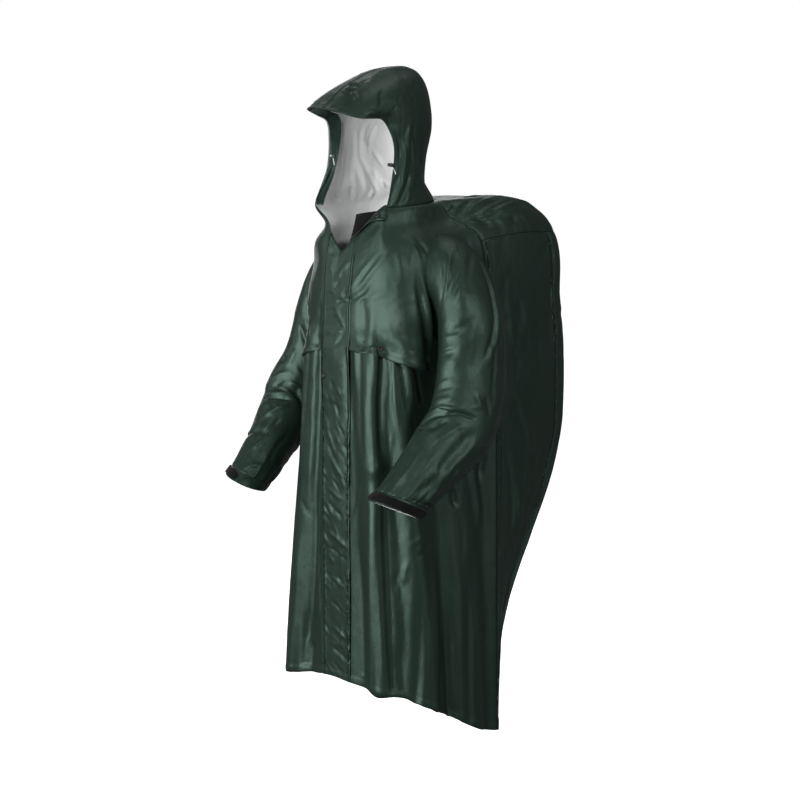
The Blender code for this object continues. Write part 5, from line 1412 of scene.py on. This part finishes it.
def make_yoke(word, side):
    """Chest and shoulder piece with its free lower edge."""
    levels = levels_of((0.0, 1.0, 56), (1.0, 1.5, 18), (1.5, 2.0, 20))
    turns = front_turns(side, levels, edged(92, 0.34))
    levels = levels * np.ones_like(turns)
    strokes = LEFT_YOKE_STROKES if side > 0 else RIGHT_YOKE_STROKES
    lift = yoke_lift(levels) - UNDER_FLAP_SINK * under_flap(turns, levels)
    return body_grid("chest_yoke_" + word, turns, levels, lift, strokes, ("last",),
                     ("bottom",), "chest", ("top",))


def make_lower(word, side):
    """Lower front from under the yoke to the hem."""
    levels = levels_of((UNDERLAP_LEVEL, 2.0, 8), (2.0, 3.0, 176))
    turns = front_turns(side, levels, edged(88, 0.36))
    levels = levels * np.ones_like(turns)
    strokes = LEFT_LOWER_STROKES if side > 0 else RIGHT_LOWER_STROKES
    lift = -UNDER_FLAP_SINK * under_flap(turns, levels) - UNDERLAP_SINK * (1.0 - smooth(1.9, 2.0, levels))
    return body_grid("lower_front_" + word, turns, levels, lift, strokes, ("last",))


def back_turns(steps_side, steps_back):
    """Turns over the whole back, from side edge to side edge."""
    half = np.concatenate([np.linspace(1.0, 2.0, steps_side + 1)[:-1],
                           np.linspace(2.0, 3.0, steps_back + 1)])
    return np.concatenate([half, 6.0 - half[-2::-1]])[None, :]


def make_top():
    """Back top panel over the shoulders and the bulge."""
    levels = levels_of((0.0, GUSSET_LEVEL, 72))
    return body_grid("back_top", back_turns(30, 40), levels, 0.0, TOP_STROKES,
                     ("bottom", "first", "last"), (), "bulge", ("top",))


BACK_SPANS = ((GUSSET_LEVEL, 1.0, 14), (1.0, 2.0, 34), (2.0, 3.0, 150))


def make_gusset(word, side):
    """Side gusset of the bulge."""
    levels = levels_of(*BACK_SPANS)
    turns = side * (1.0 + edged(40, 0.19))[None, :]
    return body_grid("bulge_gusset_" + word, turns, levels, 0.0, LEFT_GUSSET_STROKES if side > 0 else (),
                     ("top", "first", "last"), ("bottom",), "bulge")


def make_back():
    """Back panel over the bulge and down to the hem."""
    levels = levels_of(*BACK_SPANS)
    half = 2.0 + edged(46, 0.26)
    turns = np.concatenate([half[:-3], [3.0], 6.0 - half[:-3][::-1]])[None, :]
    return body_grid("back_panel", turns, levels, 0.0, (), ("top", "first", "last"),
                     ("bottom",), "bulge")


FLAP_PRESS = 0.0024
FLAP_PRESS_REACH = 0.012


def make_flap():
    """Storm flap over the zip, its long edges lying closer to the yokes over the chest."""
    levels = levels_of((0.0, 1.0, 76), (1.0, 2.0, 48), (2.0, 2.06, 12), (2.06, 3.0, 250))
    shares = FLAP_RIGHT_X + (FLAP_LEFT_X - FLAP_RIGHT_X) * edged(26, 0.083)[None, :]
    turns = turn_at_x(shares * np.ones_like(levels), levels * np.ones_like(shares))
    levels = levels * np.ones_like(turns)
    gaps = border_gaps(body(turns, levels), ("first", "last")).min(axis=0)
    close = (1.0 - smooth(0.0, FLAP_PRESS_REACH, gaps)) * (1.0 - smooth(1.6, 2.0, levels))
    return body_grid("storm_flap", turns, levels, flap_lift(levels) - FLAP_PRESS * close,
                     FLAP_STROKES + LEFT_YOKE_STROKES, (),
                     ("first", "last", "bottom"), "flap")


def make_neck_flap():
    """Tab of the storm flap, snapped down beside the open neck."""
    turns = (NECK_FLAP_TURNS[0] + (NECK_FLAP_TURNS[1] - NECK_FLAP_TURNS[0]) * edged(34, 0.09))[None, :]
    low, high = NECK_FLAP_DEPTHS
    reach = low + (high - low) * smooth(*NECK_FLAP_TURNS, turns)
    levels = NECK_FLAP_LEVEL + edged(16, 0.05)[:, None] * reach
    return body_grid("neck_flap", turns, levels, NECK_FLAP_LIFT, (), (),
                     ("first", "last", "top", "bottom"), "flap")


def make_chin_guard():
    """Guard inside the left edge of the open neck."""
    share = edged(20, 0.09)[:, None]
    across = edged(16, 0.07)[None, :]
    turns = CHIN_TURNS[0] + (CHIN_TURNS[1] - CHIN_TURNS[0]) * share
    inward = -normals_of(plain_body, turns, 0.0 * turns)
    start = plain_body(turns, 0.0 * turns) + inward * (WALL + CHIN_GAP)
    low = np.array(CHIN_EDGE_LOW)
    far = low + (np.array(CHIN_EDGE_HIGH) - low) * share[..., None]
    points = start + (far - start) * across[..., None]
    points[..., 1] -= CHIN_BOW * np.sin(np.pi * across) * share
    return points


# ---------------------------------------------------------------- sleeves

SLEEVE_COLUMNS = 112
HEAD_ROWS = 34
ARM_ROWS = 150
HEAD_SHARE = 0.22
ARMHOLE_SINK = 0.003


def sleeve(along, girth, side):
    """Smooth arm of a sleeve; girth 0 is the outer side and 0.25 the front."""
    along, girth = np.broadcast_arrays(np.asarray(along, float), np.asarray(girth, float))
    centre, _, out, front, in_out, fore_aft = sleeve_frame(along, side)
    angle = 2.0 * np.pi * girth
    points = (centre + out * (np.cos(angle) * in_out)[..., None]
              + front * (np.sin(angle) * fore_aft)[..., None])
    points[..., 0] *= side
    return points


def armhole_ring(side, tree, girths):
    """Oval of the armhole just below the yoke's surface."""
    way = Vector((-side, 0.0, 0.0))
    ring = []
    for angle in 2.0 * np.pi * girths:
        y = ARMHOLE_Y - ARMHOLE_HALF_WIDTH * np.sin(angle)
        z = ARMHOLE_Z + ARMHOLE_HALF_HEIGHT * np.cos(angle)
        hit = tree.ray_cast(Vector((side * 0.4, y, z)), way)[0]
        ring.append(hit + way * ARMHOLE_SINK)
    return np.array(ring)


def sleeve_base(side, tree):
    """Smooth sleeve from the armhole over its head to the cuff."""
    girths = np.arange(SLEEVE_COLUMNS) / SLEEVE_COLUMNS
    start = armhole_ring(side, tree, girths)
    end = sleeve(0.0 * girths, girths, side)
    way = sleeve_frame(np.array([0.0]), side)[1] * np.array([side, 1.0, 1.0])
    reach = HEAD_FULLNESS * np.linalg.norm(end - start, axis=-1, keepdims=True)
    leave = np.array([side, 0.0, -0.1]) * reach
    arrive = way * reach
    u = (np.arange(HEAD_ROWS) / HEAD_ROWS)[:, None, None]
    head = ((2 * u ** 3 - 3 * u ** 2 + 1) * start + (u ** 3 - 2 * u ** 2 + u) * leave
            + (3 * u ** 2 - 2 * u ** 3) * end + (u ** 3 - u ** 2) * arrive)
    arm = sleeve(np.linspace(0.0, 1.0, ARM_ROWS + 1)[:, None], girths[None, :], side)
    return slanted(np.concatenate([head, arm]), side)


def grid_surface(points):
    """Surface read from a ring grid: u is the girth, v 0 at the armhole, HEAD_SHARE at the arm's
    first ring and 1 at the wrist."""
    rows, columns = points.shape[:2]

    def read(u, v):
        u, v = np.broadcast_arrays(np.asarray(u, float), np.asarray(v, float))
        row = np.where(v < HEAD_SHARE, v / HEAD_SHARE * HEAD_ROWS,
                       HEAD_ROWS + (v - HEAD_SHARE) / (1.0 - HEAD_SHARE) * ARM_ROWS)
        row = np.clip(row, 0.0, rows - 1.0001)
        col = (u % 1.0) * columns
        r0, c0 = row.astype(int), col.astype(int) % columns
        fr, fc = (row - r0)[..., None], (col - np.floor(col))[..., None]
        c1 = (c0 + 1) % columns
        upper = points[r0, c0] * (1 - fc) + points[r0, c1] * fc
        lower = points[r0 + 1, c0] * (1 - fc) + points[r0 + 1, c1] * fc
        return upper * (1 - fr) + lower * fr

    return read


# How each wrist hangs: the plane that its opening faces, how far the sleeve is pulled back from
# it, and how far it settles.
Wrist = namedtuple("Wrist", "plane pulled settle")
WRISTS = {1.0: Wrist((-0.122, -0.373, -0.927), 0.002, (0.004, 0.002, -0.019)),
          -1.0: Wrist((-0.300, -0.322, -0.903), 0.014, (-0.006, 0.001, -0.027))}
WRIST_START = 0.70


def slanted(points, side):
    """Sleeve grid with its wrist trimmed to the slanted plane of its opening."""
    way = wrist_way(side)
    plane = np.array(WRISTS[side].plane)
    ring = points[-1]
    reach = (ring.mean(axis=0) - ring) @ plane / (plane @ way) - WRISTS[side].pulled
    rows = np.arange(points.shape[0]) / (points.shape[0] - 1.0)
    share = smooth(WRIST_START, 1.0, rows)[:, None, None]
    moved = points + way * reach[None, :, None] * share ** 1.5
    return moved + np.array(WRISTS[side].settle) * share


# The gathers at the cuff: waves round the sleeve, by their count, size and phase.
Gather = namedtuple("Gather", "count size phase")
GATHERS = (Gather(17.0, 1.0, 1.3), Gather(29.0, 0.8, 0.0), Gather(11.0, 0.7, 2.0))
GATHER_HEIGHT = 0.0008


def make_sleeve(side, tree):
    """Outer points of a sleeve with its creases and the gathers at its cuff."""
    points = sleeve_base(side, tree)
    normals = grid_normals(points, True)
    centre = points.mean(axis=1, keepdims=True)
    normals *= np.sign(np.mean(np.sum(normals * (points - centre), axis=-1)))
    strokes = LEFT_ARM_STROKES if side > 0 else RIGHT_ARM_STROKES
    name = "sleeve_left" if side > 0 else "sleeve_right"
    height = cloth_height(name, points, grid_surface(points), strokes, "arm")
    rows = np.concatenate([np.linspace(0.0, HEAD_SHARE, HEAD_ROWS + 1)[:-1],
                           np.linspace(HEAD_SHARE, 1.0, ARM_ROWS + 1)])[:, None]
    girths = (np.arange(SLEEVE_COLUMNS) / SLEEVE_COLUMNS)[None, :]
    gather = sum(wave.size * np.sin(girths * 2 * np.pi * wave.count + wave.phase) for wave in GATHERS)
    height = height + GATHER_HEIGHT * gather * smooth(0.86, 1.0, rows)
    height = height * smooth(0.0, 0.04, rows)
    return points + normals * height[..., None], normals


# ---------------------------------------------------------------- hood

def make_hood_half(half):
    """Outer points of one hood half with its creases."""
    backs = np.concatenate([np.linspace(0.0, BAND_BACK, 16)[:-1], np.linspace(BAND_BACK, 1.0, 100)])[:, None]
    legs = np.linspace(0.0, LEG_SHARE, 46)[:-1]
    ups = np.concatenate([legs, np.linspace(LEG_SHARE, 1.0, 64)])[None, :]
    backs, ups = np.broadcast_arrays(backs, ups)
    points = hood(backs, ups, half)
    normals = hood_normals(backs, ups, half)
    name = "hood_panel_left" if half > 0 else "hood_panel_right"
    strokes = HOOD_LEFT_STROKES if half > 0 else HOOD_RIGHT_STROKES
    height = cloth_height(name, points, lambda u, v: hood(u, v, half), strokes, "hood")
    height = finished(points, height, ("last",), (), ("first",))
    points = points + normals * height[..., None]
    tuck = neck_tuck(points[:, 0], backs[:, 0], half)
    flat = np.repeat(normals[:, :1], tuck.shape[1], axis=1)
    return np.concatenate([tuck, points], axis=1), np.concatenate([flat, normals], axis=1)


TUCK_STEPS = 8
TUCK_IN = 0.0036
TUCK_LEAN = 0.016
TUCK_SHORT = 0.010
TUCK_LONG = 0.085


def neck_tuck(foot, back, half):
    """Lining of the hood carried down inside the neck, deeper on the side that shows."""
    share = np.linspace(1.0, 0.0, TUCK_STEPS, endpoint=False)
    deep = TUCK_SHORT + (TUCK_LONG - TUCK_SHORT) * (half < 0) * (1.0 - smooth(0.55, 0.9, back))
    inward = unit(np.array([0.0, -0.01, 0.0]) - foot * np.array([1.0, 1.0, 0.0]))
    lean = TUCK_IN * smooth(0.0, 0.25, share) + TUCK_LEAN * (deep / TUCK_LONG)[:, None] * share ** 2
    points = foot[:, None] + inward[:, None] * lean[..., None]
    points[..., 2] -= deep[:, None] * share
    return points


BAND_GAP = 0.0020
BAND_START = 0.004
BAND_LEAN = {1.0: 0.002, -1.0: 0.016}


def make_hood_band(half):
    """Facing band inside the face opening."""
    backs = np.linspace(BAND_START, BAND_BACK, 16)[:, None]
    legs = np.linspace(BAND_START, LEG_SHARE, 46)[:-1]
    ups = np.concatenate([legs, np.linspace(LEG_SHARE, 0.999, 64)])[None, :]
    backs, ups = np.broadcast_arrays(backs, ups)
    normals = hood_normals(backs, ups, half)
    lean = BAND_LEAN[half] * backs / BAND_BACK * (1.0 - smooth(0.42, 0.62, ups))
    return hood(backs, ups, half) - normals * (BAND_GAP + lean)[..., None], normals


# ---------------------------------------------------------------- joined small parts

def make_item(name, points, faces, looks, slots=None, smooth_faces=True):
    """Mesh object from points and faces of any size."""
    mesh = bpy.data.meshes.new(name)
    mesh.from_pydata(settled(points).tolist(), [], [tuple(int(k) for k in f) for f in faces])
    for look in looks:
        mesh.materials.append(look)
    if slots is not None:
        mesh.polygons.foreach_set("material_index", np.asarray(slots, np.int32))
    mesh.polygons.foreach_set("use_smooth", np.full(len(mesh.polygons), smooth_faces))
    return in_scene(name, mesh)


def joined(parts):
    """Join pairs of points and faces into one pair."""
    points, faces, base = [], [], 0
    for some, quads in parts:
        points.append(np.asarray(some))
        faces += [[k + base for k in quad] for quad in quads]
        base += len(some)
    return np.concatenate(points), faces


def frame_of(axis):
    """Three axes, the last along the given one."""
    turn = Vector(axis).to_track_quat("Z", "Y")
    return np.array([turn @ Vector(way) for way in ((1, 0, 0), (0, 1, 0), (0, 0, 1))])


def ring_faces(rows, sides, closed=False):
    """Faces between rings of points, joined round to the first ring or closed by two end faces."""
    faces = []
    for row in range(rows if closed else rows - 1):
        below = (row + 1) % rows
        for col in range(sides):
            after = (col + 1) % sides
            faces.append([row * sides + col, row * sides + after, below * sides + after, below * sides + col])
    if not closed:
        faces.append(list(range(sides))[::-1])
        faces.append([(rows - 1) * sides + col for col in range(sides)])
    return faces


def spun(profile, place, axis, sides):
    """Rings of points from radius and height pairs, turned round an axis."""
    angles = np.linspace(0.0, 2.0 * np.pi, sides, endpoint=False)
    rings = [[(r * math.cos(a), r * math.sin(a), h) for a in angles] for r, h in profile]
    return np.array(rings).reshape(-1, 3) @ frame_of(axis) + np.asarray(place)


def revolved(profile, place, axis, sides=28):
    """Solid of revolution from radius and height pairs, closed at both ends."""
    return spun(profile, place, axis, sides), ring_faces(len(profile), sides)


def hoop(profile, place, axis, sides=32):
    """Ring of revolution round an open middle, from a closed profile of radius and height pairs."""
    return spun(profile, place, axis, sides), ring_faces(len(profile), sides, True)


def boxes(centres, along, across, up, half):
    """Small boxes at many places, from their axes and half sizes."""
    corners = np.array([(a, b, c) for a in (-1, 1) for b in (-1, 1) for c in (-1, 1)], float) * half
    points = (centres[:, None] + corners[None, :, 0:1] * along[:, None]
              + corners[None, :, 1:2] * across[:, None] + corners[None, :, 2:3] * up[:, None])
    quads = np.array([(0, 1, 3, 2), (4, 6, 7, 5), (0, 4, 5, 1), (2, 3, 7, 6), (0, 2, 6, 4), (1, 5, 7, 3)])
    faces = (np.arange(len(centres)) * 8)[:, None, None] + quads[None]
    return points.reshape(-1, 3), faces.reshape(-1, 4)


def inset_line(points, normals, border, distance):
    """Line on a grid at a distance inside one of its borders, with its normals."""
    if border in ("top", "bottom"):
        points, normals = points.transpose(1, 0, 2), normals.transpose(1, 0, 2)
    if border in ("last", "bottom"):
        points, normals = points[:, ::-1], normals[:, ::-1]
    run = np.cumsum(np.linalg.norm(np.diff(points, axis=1), axis=-1), axis=1)
    after = np.argmax(run >= distance, axis=1)
    rows = np.arange(len(points))
    before = np.where(after > 0, run[rows, after - 1], 0.0)
    share = ((distance - before) / (run[rows, after] - before))[:, None]
    line = points[rows, after] * (1 - share) + points[rows, after + 1] * share
    return line, unit(normals[rows, after] * (1 - share) + normals[rows, after + 1] * share)


STITCH = 0.0030
STITCH_SKIP = 0.0014
STITCH_HALF = np.array((STITCH / 2, 0.00042, 0.00034))
STITCH_RISE = 0.00012


def stitches(line, normals, closed=False):
    """Points and faces of the stitches along a line on the cloth."""
    if closed:
        line = np.concatenate([line, line[:1]])
        normals = np.concatenate([normals, normals[:1]])
    run = run_along(line)
    pitch = STITCH + STITCH_SKIP
    count = max(1, int(run[-1] / pitch))
    at = (np.arange(count) + 0.5) * run[-1] / count
    along = unit(read_along(at + STITCH / 2, run, line) - read_along(at - STITCH / 2, run, line))
    up = unit(read_along(at, run, normals))
    up = unit(up - along * np.sum(up * along, axis=-1, keepdims=True))
    centre = read_along(at, run, line) + up * STITCH_RISE
    return boxes(centre, along, np.cross(up, along), up, STITCH_HALF)


SEAM_STITCH = 0.003
PANEL_STITCH = 0.0035
CUFF_STITCH = 0.004
ARMHOLE_STITCH = 0.005
YOKE_EDGE_STITCH = 0.004
YOKE_HEM_STITCH = 0.0105
HEM_STITCH = 0.0125
BRIM_STITCH = 0.016
SEWN = []


def rows_at(distance, *borders):
    """Rows of stitches at one distance from the named borders."""
    return tuple((border, distance) for border in borders)


def sew(points, normals, rows, wrap=False):
    """Note rows of stitches on a piece: each row is a border and its distance from it."""
    for border, distance in rows:
        line, ups = inset_line(points, normals, border, distance)
        SEWN.append(stitches(line, ups, wrap))


def place_stitches():
    """All sewing thread as one piece."""
    points, faces = joined(SEWN)
    dress(make_item("sewing_thread", points, faces, (thread,), smooth_faces=False), "shell_nylon")


# ---------------------------------------------------------------- cuffs

SEAM_GAP = 0.0003
CUFF_UNDER = 0.0012
CUFF_SHARES = (-0.08, 0.0, 0.05, 0.11, 0.20, 0.32, 0.44, 0.56, 0.68, 0.79, 0.87, 0.93, 0.97, 1.0)
TAB_REACH = 0.25
TAB_HALF = 0.0105
TAB_LIFT = 0.0027
TAB_ROUND = 0.012
TAB_LOOSE = 0.006
TAB_LOOSE_RUN = 0.018
TAB_END = 0.35
TAB_PRESS = 0.0007
TAB_CRUMPLE = 0.0003
TAB_CRUMPLE_SIZE = 0.011
CUFF_CRUMPLE = 0.0006
CUFF_CRUMPLE_SIZE = 0.0075


def cuff_grid(base, side):
    """Band of the cuff beyond the last ring of the smooth sleeve, with its outward directions."""
    direction = wrist_way(side)
    ring = base[-1]
    radial = ring - ring.mean(axis=0)
    radial = unit(radial - direction * (radial @ direction)[:, None])
    shares = np.array(CUFF_SHARES)[:, None, None]
    band = ring + direction * (SEAM_GAP + CUFF_LENGTH * shares)
    band = band + radial * (CUFF_FLARE * (1.0 - np.abs(2.0 * shares - 1.0)) - CUFF_UNDER * (shares < 0.0))
    pucker = lattice_noise(band / CUFF_CRUMPLE_SIZE, 91) * CUFF_CRUMPLE
    return band + radial * pucker[..., None], np.broadcast_to(radial, band.shape), direction


def make_tab(band, radial, direction):
    """Hook-and-loop tab over the outer half of the cuff, rounded, its rear end standing loose."""
    columns = band.shape[1]
    reach = int(columns * TAB_REACH)
    index = np.arange(-reach, reach + 1) % columns
    middle = band[7][index]
    out = radial[0][index]
    run = run_along(middle)
    near_end = np.minimum(run, run[-1] - run)
    short = np.clip(1.0 - near_end / TAB_ROUND, 0.0, 1.0)
    half = TAB_HALF * np.maximum(np.sqrt(1.0 - short ** 2), TAB_END)
    loose = TAB_LOOSE * (1.0 - smooth(0.0, TAB_LOOSE_RUN, run)) ** 1.5
    across = np.linspace(-1.0, 1.0, 15)[:, None]
    points = middle + direction * (across * half)[..., None]
    lift = TAB_LIFT + loose + TAB_CRUMPLE * lattice_noise(points / TAB_CRUMPLE_SIZE, 17)
    lift = lift - TAB_PRESS * smooth(0.86, 1.0, np.abs(across))
    return points + out * lift[..., None], np.broadcast_to(out, points.shape)


# ---------------------------------------------------------------- hardware

SNAP_PROFILE = ((0.0060, 0.0), (0.0062, 0.0004), (0.0062, 0.0010), (0.0058, 0.0016), (0.0050, 0.0023),
                (0.0043, 0.0025), (0.0037, 0.0022), (0.0031, 0.0015), (0.0018, 0.0014), (0.0008, 0.0015))
LOCK_PROFILE = ((0.0026, 0.0010), (0.0036, 0.0013), (0.0041, 0.0022), (0.0042, 0.0034), (0.0042, 0.0085),
                (0.0040, 0.0094), (0.0031, 0.0098), (0.0029, 0.0106), (0.0034, 0.0111), (0.0035, 0.0132),
                (0.0030, 0.0142), (0.0016, 0.0145))
EYELET_PROFILE = ((0.0048, 0.0), (0.0047, 0.0007), (0.0041, 0.0013), (0.0033, 0.0013), (0.0027, 0.0008),
                  (0.0025, 0.0), (0.0026, -0.0006), (0.0044, -0.0006))
SNAP_RIM = ((0.0071, 0.0), (0.0070, 0.0005), (0.0060, 0.0007), (0.0058, 0.0))
SNAP_CAST = 0.02
SNAP_MISS = 0.016
SNAP_SEAT = 0.0002
LOCK_LEAN = (0.35, -1.0, 0.12)
CORD_THICK = 0.0011
CORD_REACH = 0.0060
CORD_DROP = 0.020
CORD_BEHIND = 0.0016
CORD_LEAN = (0.25, 0.15, -1.0)
EYELET_SINK = 0.0038


def put_snap(name, carrier, turn, level):
    """Press stud cap lying on a cloth piece."""
    spot = np.array([turn]), np.array([level])
    way = Vector(normals_of(body, *spot)[0])
    start = Vector(body(*spot)[0]) + way * SNAP_CAST
    hit = tree_from(carrier).ray_cast(start, -way)[0]
    if hit is None:
        hit = start - way * SNAP_MISS
    cap = revolved(SNAP_PROFILE, hit + way * SNAP_SEAT, way)
    ring = hoop(SNAP_RIM, hit, way)
    dress(make_item(name, *joined([cap, ring]), (snap_dark,)), "snap_metal", name)


def tube(line, radius, sides=10):
    """Round tube along a line of points."""
    line = np.asarray(line)
    ahead = unit(np.gradient(line, axis=0))
    side = unit(np.cross(ahead, (0.31, 0.22, 0.93)))
    other = np.cross(ahead, side)
    angles = np.linspace(0.0, 2.0 * np.pi, sides, endpoint=False)
    points = (line[:, None] + side[:, None] * (np.cos(angles) * radius)[None, :, None]
              + other[:, None] * (np.sin(angles) * radius)[None, :, None]).reshape(-1, 3)
    return points, ring_faces(len(line), sides)


LOCK_INSIDE = {1.0: 0.001, -1.0: 0.013}


def put_lock(word, half, look):
    """Cord lock at the edge of the face opening, with the bit of cord that it grips."""
    at = np.array([LOCK_UP[half]])
    normal = hood_normals(0.0, at, half)[0]
    edge = hood(0.0, at, half)[0] - normal * LOCK_INSIDE[half]
    axis = unit(np.array(LOCK_LEAN) * np.array([-half, 1.0, 1.0]))
    barrel = revolved(LOCK_PROFILE, edge, axis, 24)
    down = unit(np.array(CORD_LEAN) * np.array([half, 1.0, 1.0]))
    share = np.linspace(0.0, 1.0, 9)[:, None]
    bit = edge + axis * CORD_REACH * (1.0 - share) ** 2 + down * CORD_DROP * share
    cord_bit = tube(bit - normal * CORD_BEHIND, CORD_THICK)
    points, faces = joined([barrel, cord_bit])
    slots = [0] * len(barrel[1]) + [1] * len(cord_bit[1])
    item = make_item("cord_lock_" + word, points, faces, (look, silver), slots)
    dress(item, "cord_lock", "cord_lock_" + word)


def put_eyelet():
    """Eyelet of the right band."""
    at = np.array([EYELET_UP])
    normal = hood_normals(BAND_BACK * 0.5, at, -1.0)[0]
    place = hood(BAND_BACK * 0.5, at, -1.0)[0] - normal * EYELET_SINK
    item = make_item("cord_eyelet_right", *hoop(EYELET_PROFILE, place, -normal), (lock_grey,))
    dress(item, "snap_metal", "cord_eyelet_right")


ZIP_PITCH = 0.0024
ZIP_TAPE = 0.0031
ZIP_SINK = 0.0009
TOOTH_OFFSET = 0.0009
TOOTH_SINK = 0.0002
TOOTH_HALF = np.array((0.0009, 0.0019, 0.0006))


def put_zip():
    """Closed zip between the fronts: a woven tape under two rows of teeth."""
    levels = levels_of((0.10, 1.0, 40), (1.0, 2.0, 30), (2.0, 2.97, 90))
    shares = np.array([[-ZIP_TAPE, 0.0, ZIP_TAPE]])
    turns = turn_at_x(shares * np.ones_like(levels), levels * np.ones_like(shares))
    levels = levels * np.ones_like(turns)
    normals = normals_of(body, turns, levels)
    tape = body(turns, levels) - normals * ZIP_SINK
    cloth_shell("front_zip", tape, (zip_black,), slot="zip_black", normals=normals, thickness=TAPE_SHEET)
    line = body(0.0 * levels[:, 0], levels[:, 0])
    run = run_along(line)
    at = np.arange(ZIP_PITCH, run[-1], ZIP_PITCH)
    centre = read_along(at, run, line)
    up = read_along(at, run, normals[:, 1])
    along = unit(np.gradient(centre, axis=0))
    up = unit(up - along * np.sum(up * along, axis=-1, keepdims=True))
    across = np.cross(up, along)
    offset = np.where(np.arange(len(at)) % 2 == 0, 1.0, -1.0)[:, None] * TOOTH_OFFSET
    teeth = boxes(centre + across * offset - up * TOOTH_SINK, along, across, up, TOOTH_HALF)
    dress(make_item("zip_teeth", *teeth, (zip_black,), smooth_faces=False), "zip_black")


# ---------------------------------------------------------------- assembly

CLOTH_LOOKS = (green, silver)
ARMHOLE_INSET = 0.94

# The flat size of each cloth piece, as the modelled surface measures: its largest width and length, and
# its area without the armhole.
Cut = namedtuple("Cut", "held width length area")


def tree_from(points):
    """Search tree of a grid's surface."""
    rows, columns = points.shape[:2]
    index = np.arange(rows * columns).reshape(rows, columns)
    quads = np.stack([index[:-1, :-1], index[1:, :-1], index[1:, 1:], index[:-1, 1:]], axis=-1)
    return BVHTree.FromPolygons([Vector(p) for p in points.reshape(-1, 3)],
                                [list(q) for q in quads.reshape(-1, 4)])


def put_cloth(name, points, looks=CLOTH_LOOKS, rows=(), normals=None, wrap=False, **more):
    """Make a cloth piece and sew its rows of stitches."""
    if normals is None:
        normals = outward_normals(points)
    item = cloth_shell(name, points, looks, wrap=wrap, normals=normals, **more)
    sew(points, normals, rows, wrap)
    return item


def off_armhole(points, side):
    """Cells of a yoke grid outside its armhole."""
    middle = (points[:-1, :-1] + points[1:, 1:]) / 2
    y = (middle[..., 1] - ARMHOLE_Y) / (ARMHOLE_HALF_WIDTH * ARMHOLE_INSET)
    z = (middle[..., 2] - ARMHOLE_Z) / (ARMHOLE_HALF_HEIGHT * ARMHOLE_INSET)
    return ~((y ** 2 + z ** 2 < 1.0) & (middle[..., 0] * side > 0.08))


def build_body():
    """Pieces of the body."""
    grids = {}
    for word, side in (("left", 1.0), ("right", -1.0)):
        yoke = make_yoke(word, side)
        grids[side] = yoke
        put_cloth("chest_yoke_" + word, yoke, keep=off_armhole(yoke, side),
                  rows=rows_at(YOKE_EDGE_STITCH, "bottom") + rows_at(YOKE_HEM_STITCH, "bottom"))
        put_cloth("lower_front_" + word, make_lower(word, side), rows=rows_at(HEM_STITCH, "bottom"))
        put_cloth("bulge_gusset_" + word, make_gusset(word, side),
                  rows=rows_at(SEAM_STITCH, "first", "last", "top") + rows_at(HEM_STITCH, "bottom"))
    put_cloth("back_top", make_top(), rows=rows_at(SEAM_STITCH, "bottom"))
    put_cloth("back_panel", make_back(),
              rows=rows_at(PANEL_STITCH, "first", "last", "top") + rows_at(HEM_STITCH, "bottom"))
    flap = make_flap()
    put_cloth("storm_flap", flap, (green,),
              rows=rows_at(PANEL_STITCH, "first", "last") + rows_at(HEM_STITCH, "bottom"))
    tab = make_neck_flap()
    put_cloth("neck_flap", tab, (green,), rows=rows_at(SEAM_STITCH, "first", "last", "top", "bottom"))
    put_cloth("chin_guard", make_chin_guard(), (black_fleece,), slot="black_trim")
    put_zip()
    put_snap("snap_neck", tab, *SNAP_NECK)
    put_snap("snap_yoke", grids[1.0], *SNAP_YOKE)
    put_snap("snap_flap", flap, float(turn_at_x(SNAP_FLAP_X, np.array(SNAP_FLAP_LEVEL))), SNAP_FLAP_LEVEL)
    return grids


def build_arm(word, side, yoke):
    """One sleeve with its cuff band and tab."""
    tree = tree_from(yoke)
    points, normals = make_sleeve(side, tree)
    put_cloth("sleeve_" + word, points, normals=normals, wrap=True,
              rows=rows_at(ARMHOLE_STITCH, "top") + rows_at(CUFF_STITCH, "bottom"))
    band, radial, direction = cuff_grid(sleeve_base(side, tree), side)
    put_cloth("cuff_band_" + word, band, rows=rows_at(SEAM_STITCH, "top", "bottom"), normals=radial,
              wrap=True, thickness=CUFF_SHEET)
    points, out = make_tab(band, radial, direction)
    put_cloth("cuff_tab_" + word, points, (black_loop,), normals=out, thickness=TAB_SHEET, slot="black_trim")


def build_hood(word, half, lock):
    """One half of the hood with its facing band and cord lock."""
    points, normals = make_hood_half(half)
    put_cloth("hood_panel_" + word, points, normals=normals,
              rows=rows_at(SEAM_STITCH, "top") + rows_at(BRIM_STITCH, "top")
              + rows_at(SEAM_STITCH, "last", "first"))
    points, normals = make_hood_band(half)
    put_cloth("hood_band_" + word, points, (green,), normals=normals, thickness=BAND_SHEET,
              rows=rows_at(SEAM_STITCH, "bottom"))
    put_lock(word, half, lock)


def build():
    """Make every piece."""
    yokes = build_body()
    for word, side, lock in (("left", 1.0, lock_black), ("right", -1.0, lock_grey)):
        build_arm(word, side, yokes[side])
        build_hood(word, side, lock)
    put_eyelet()
    place_stitches()


build()
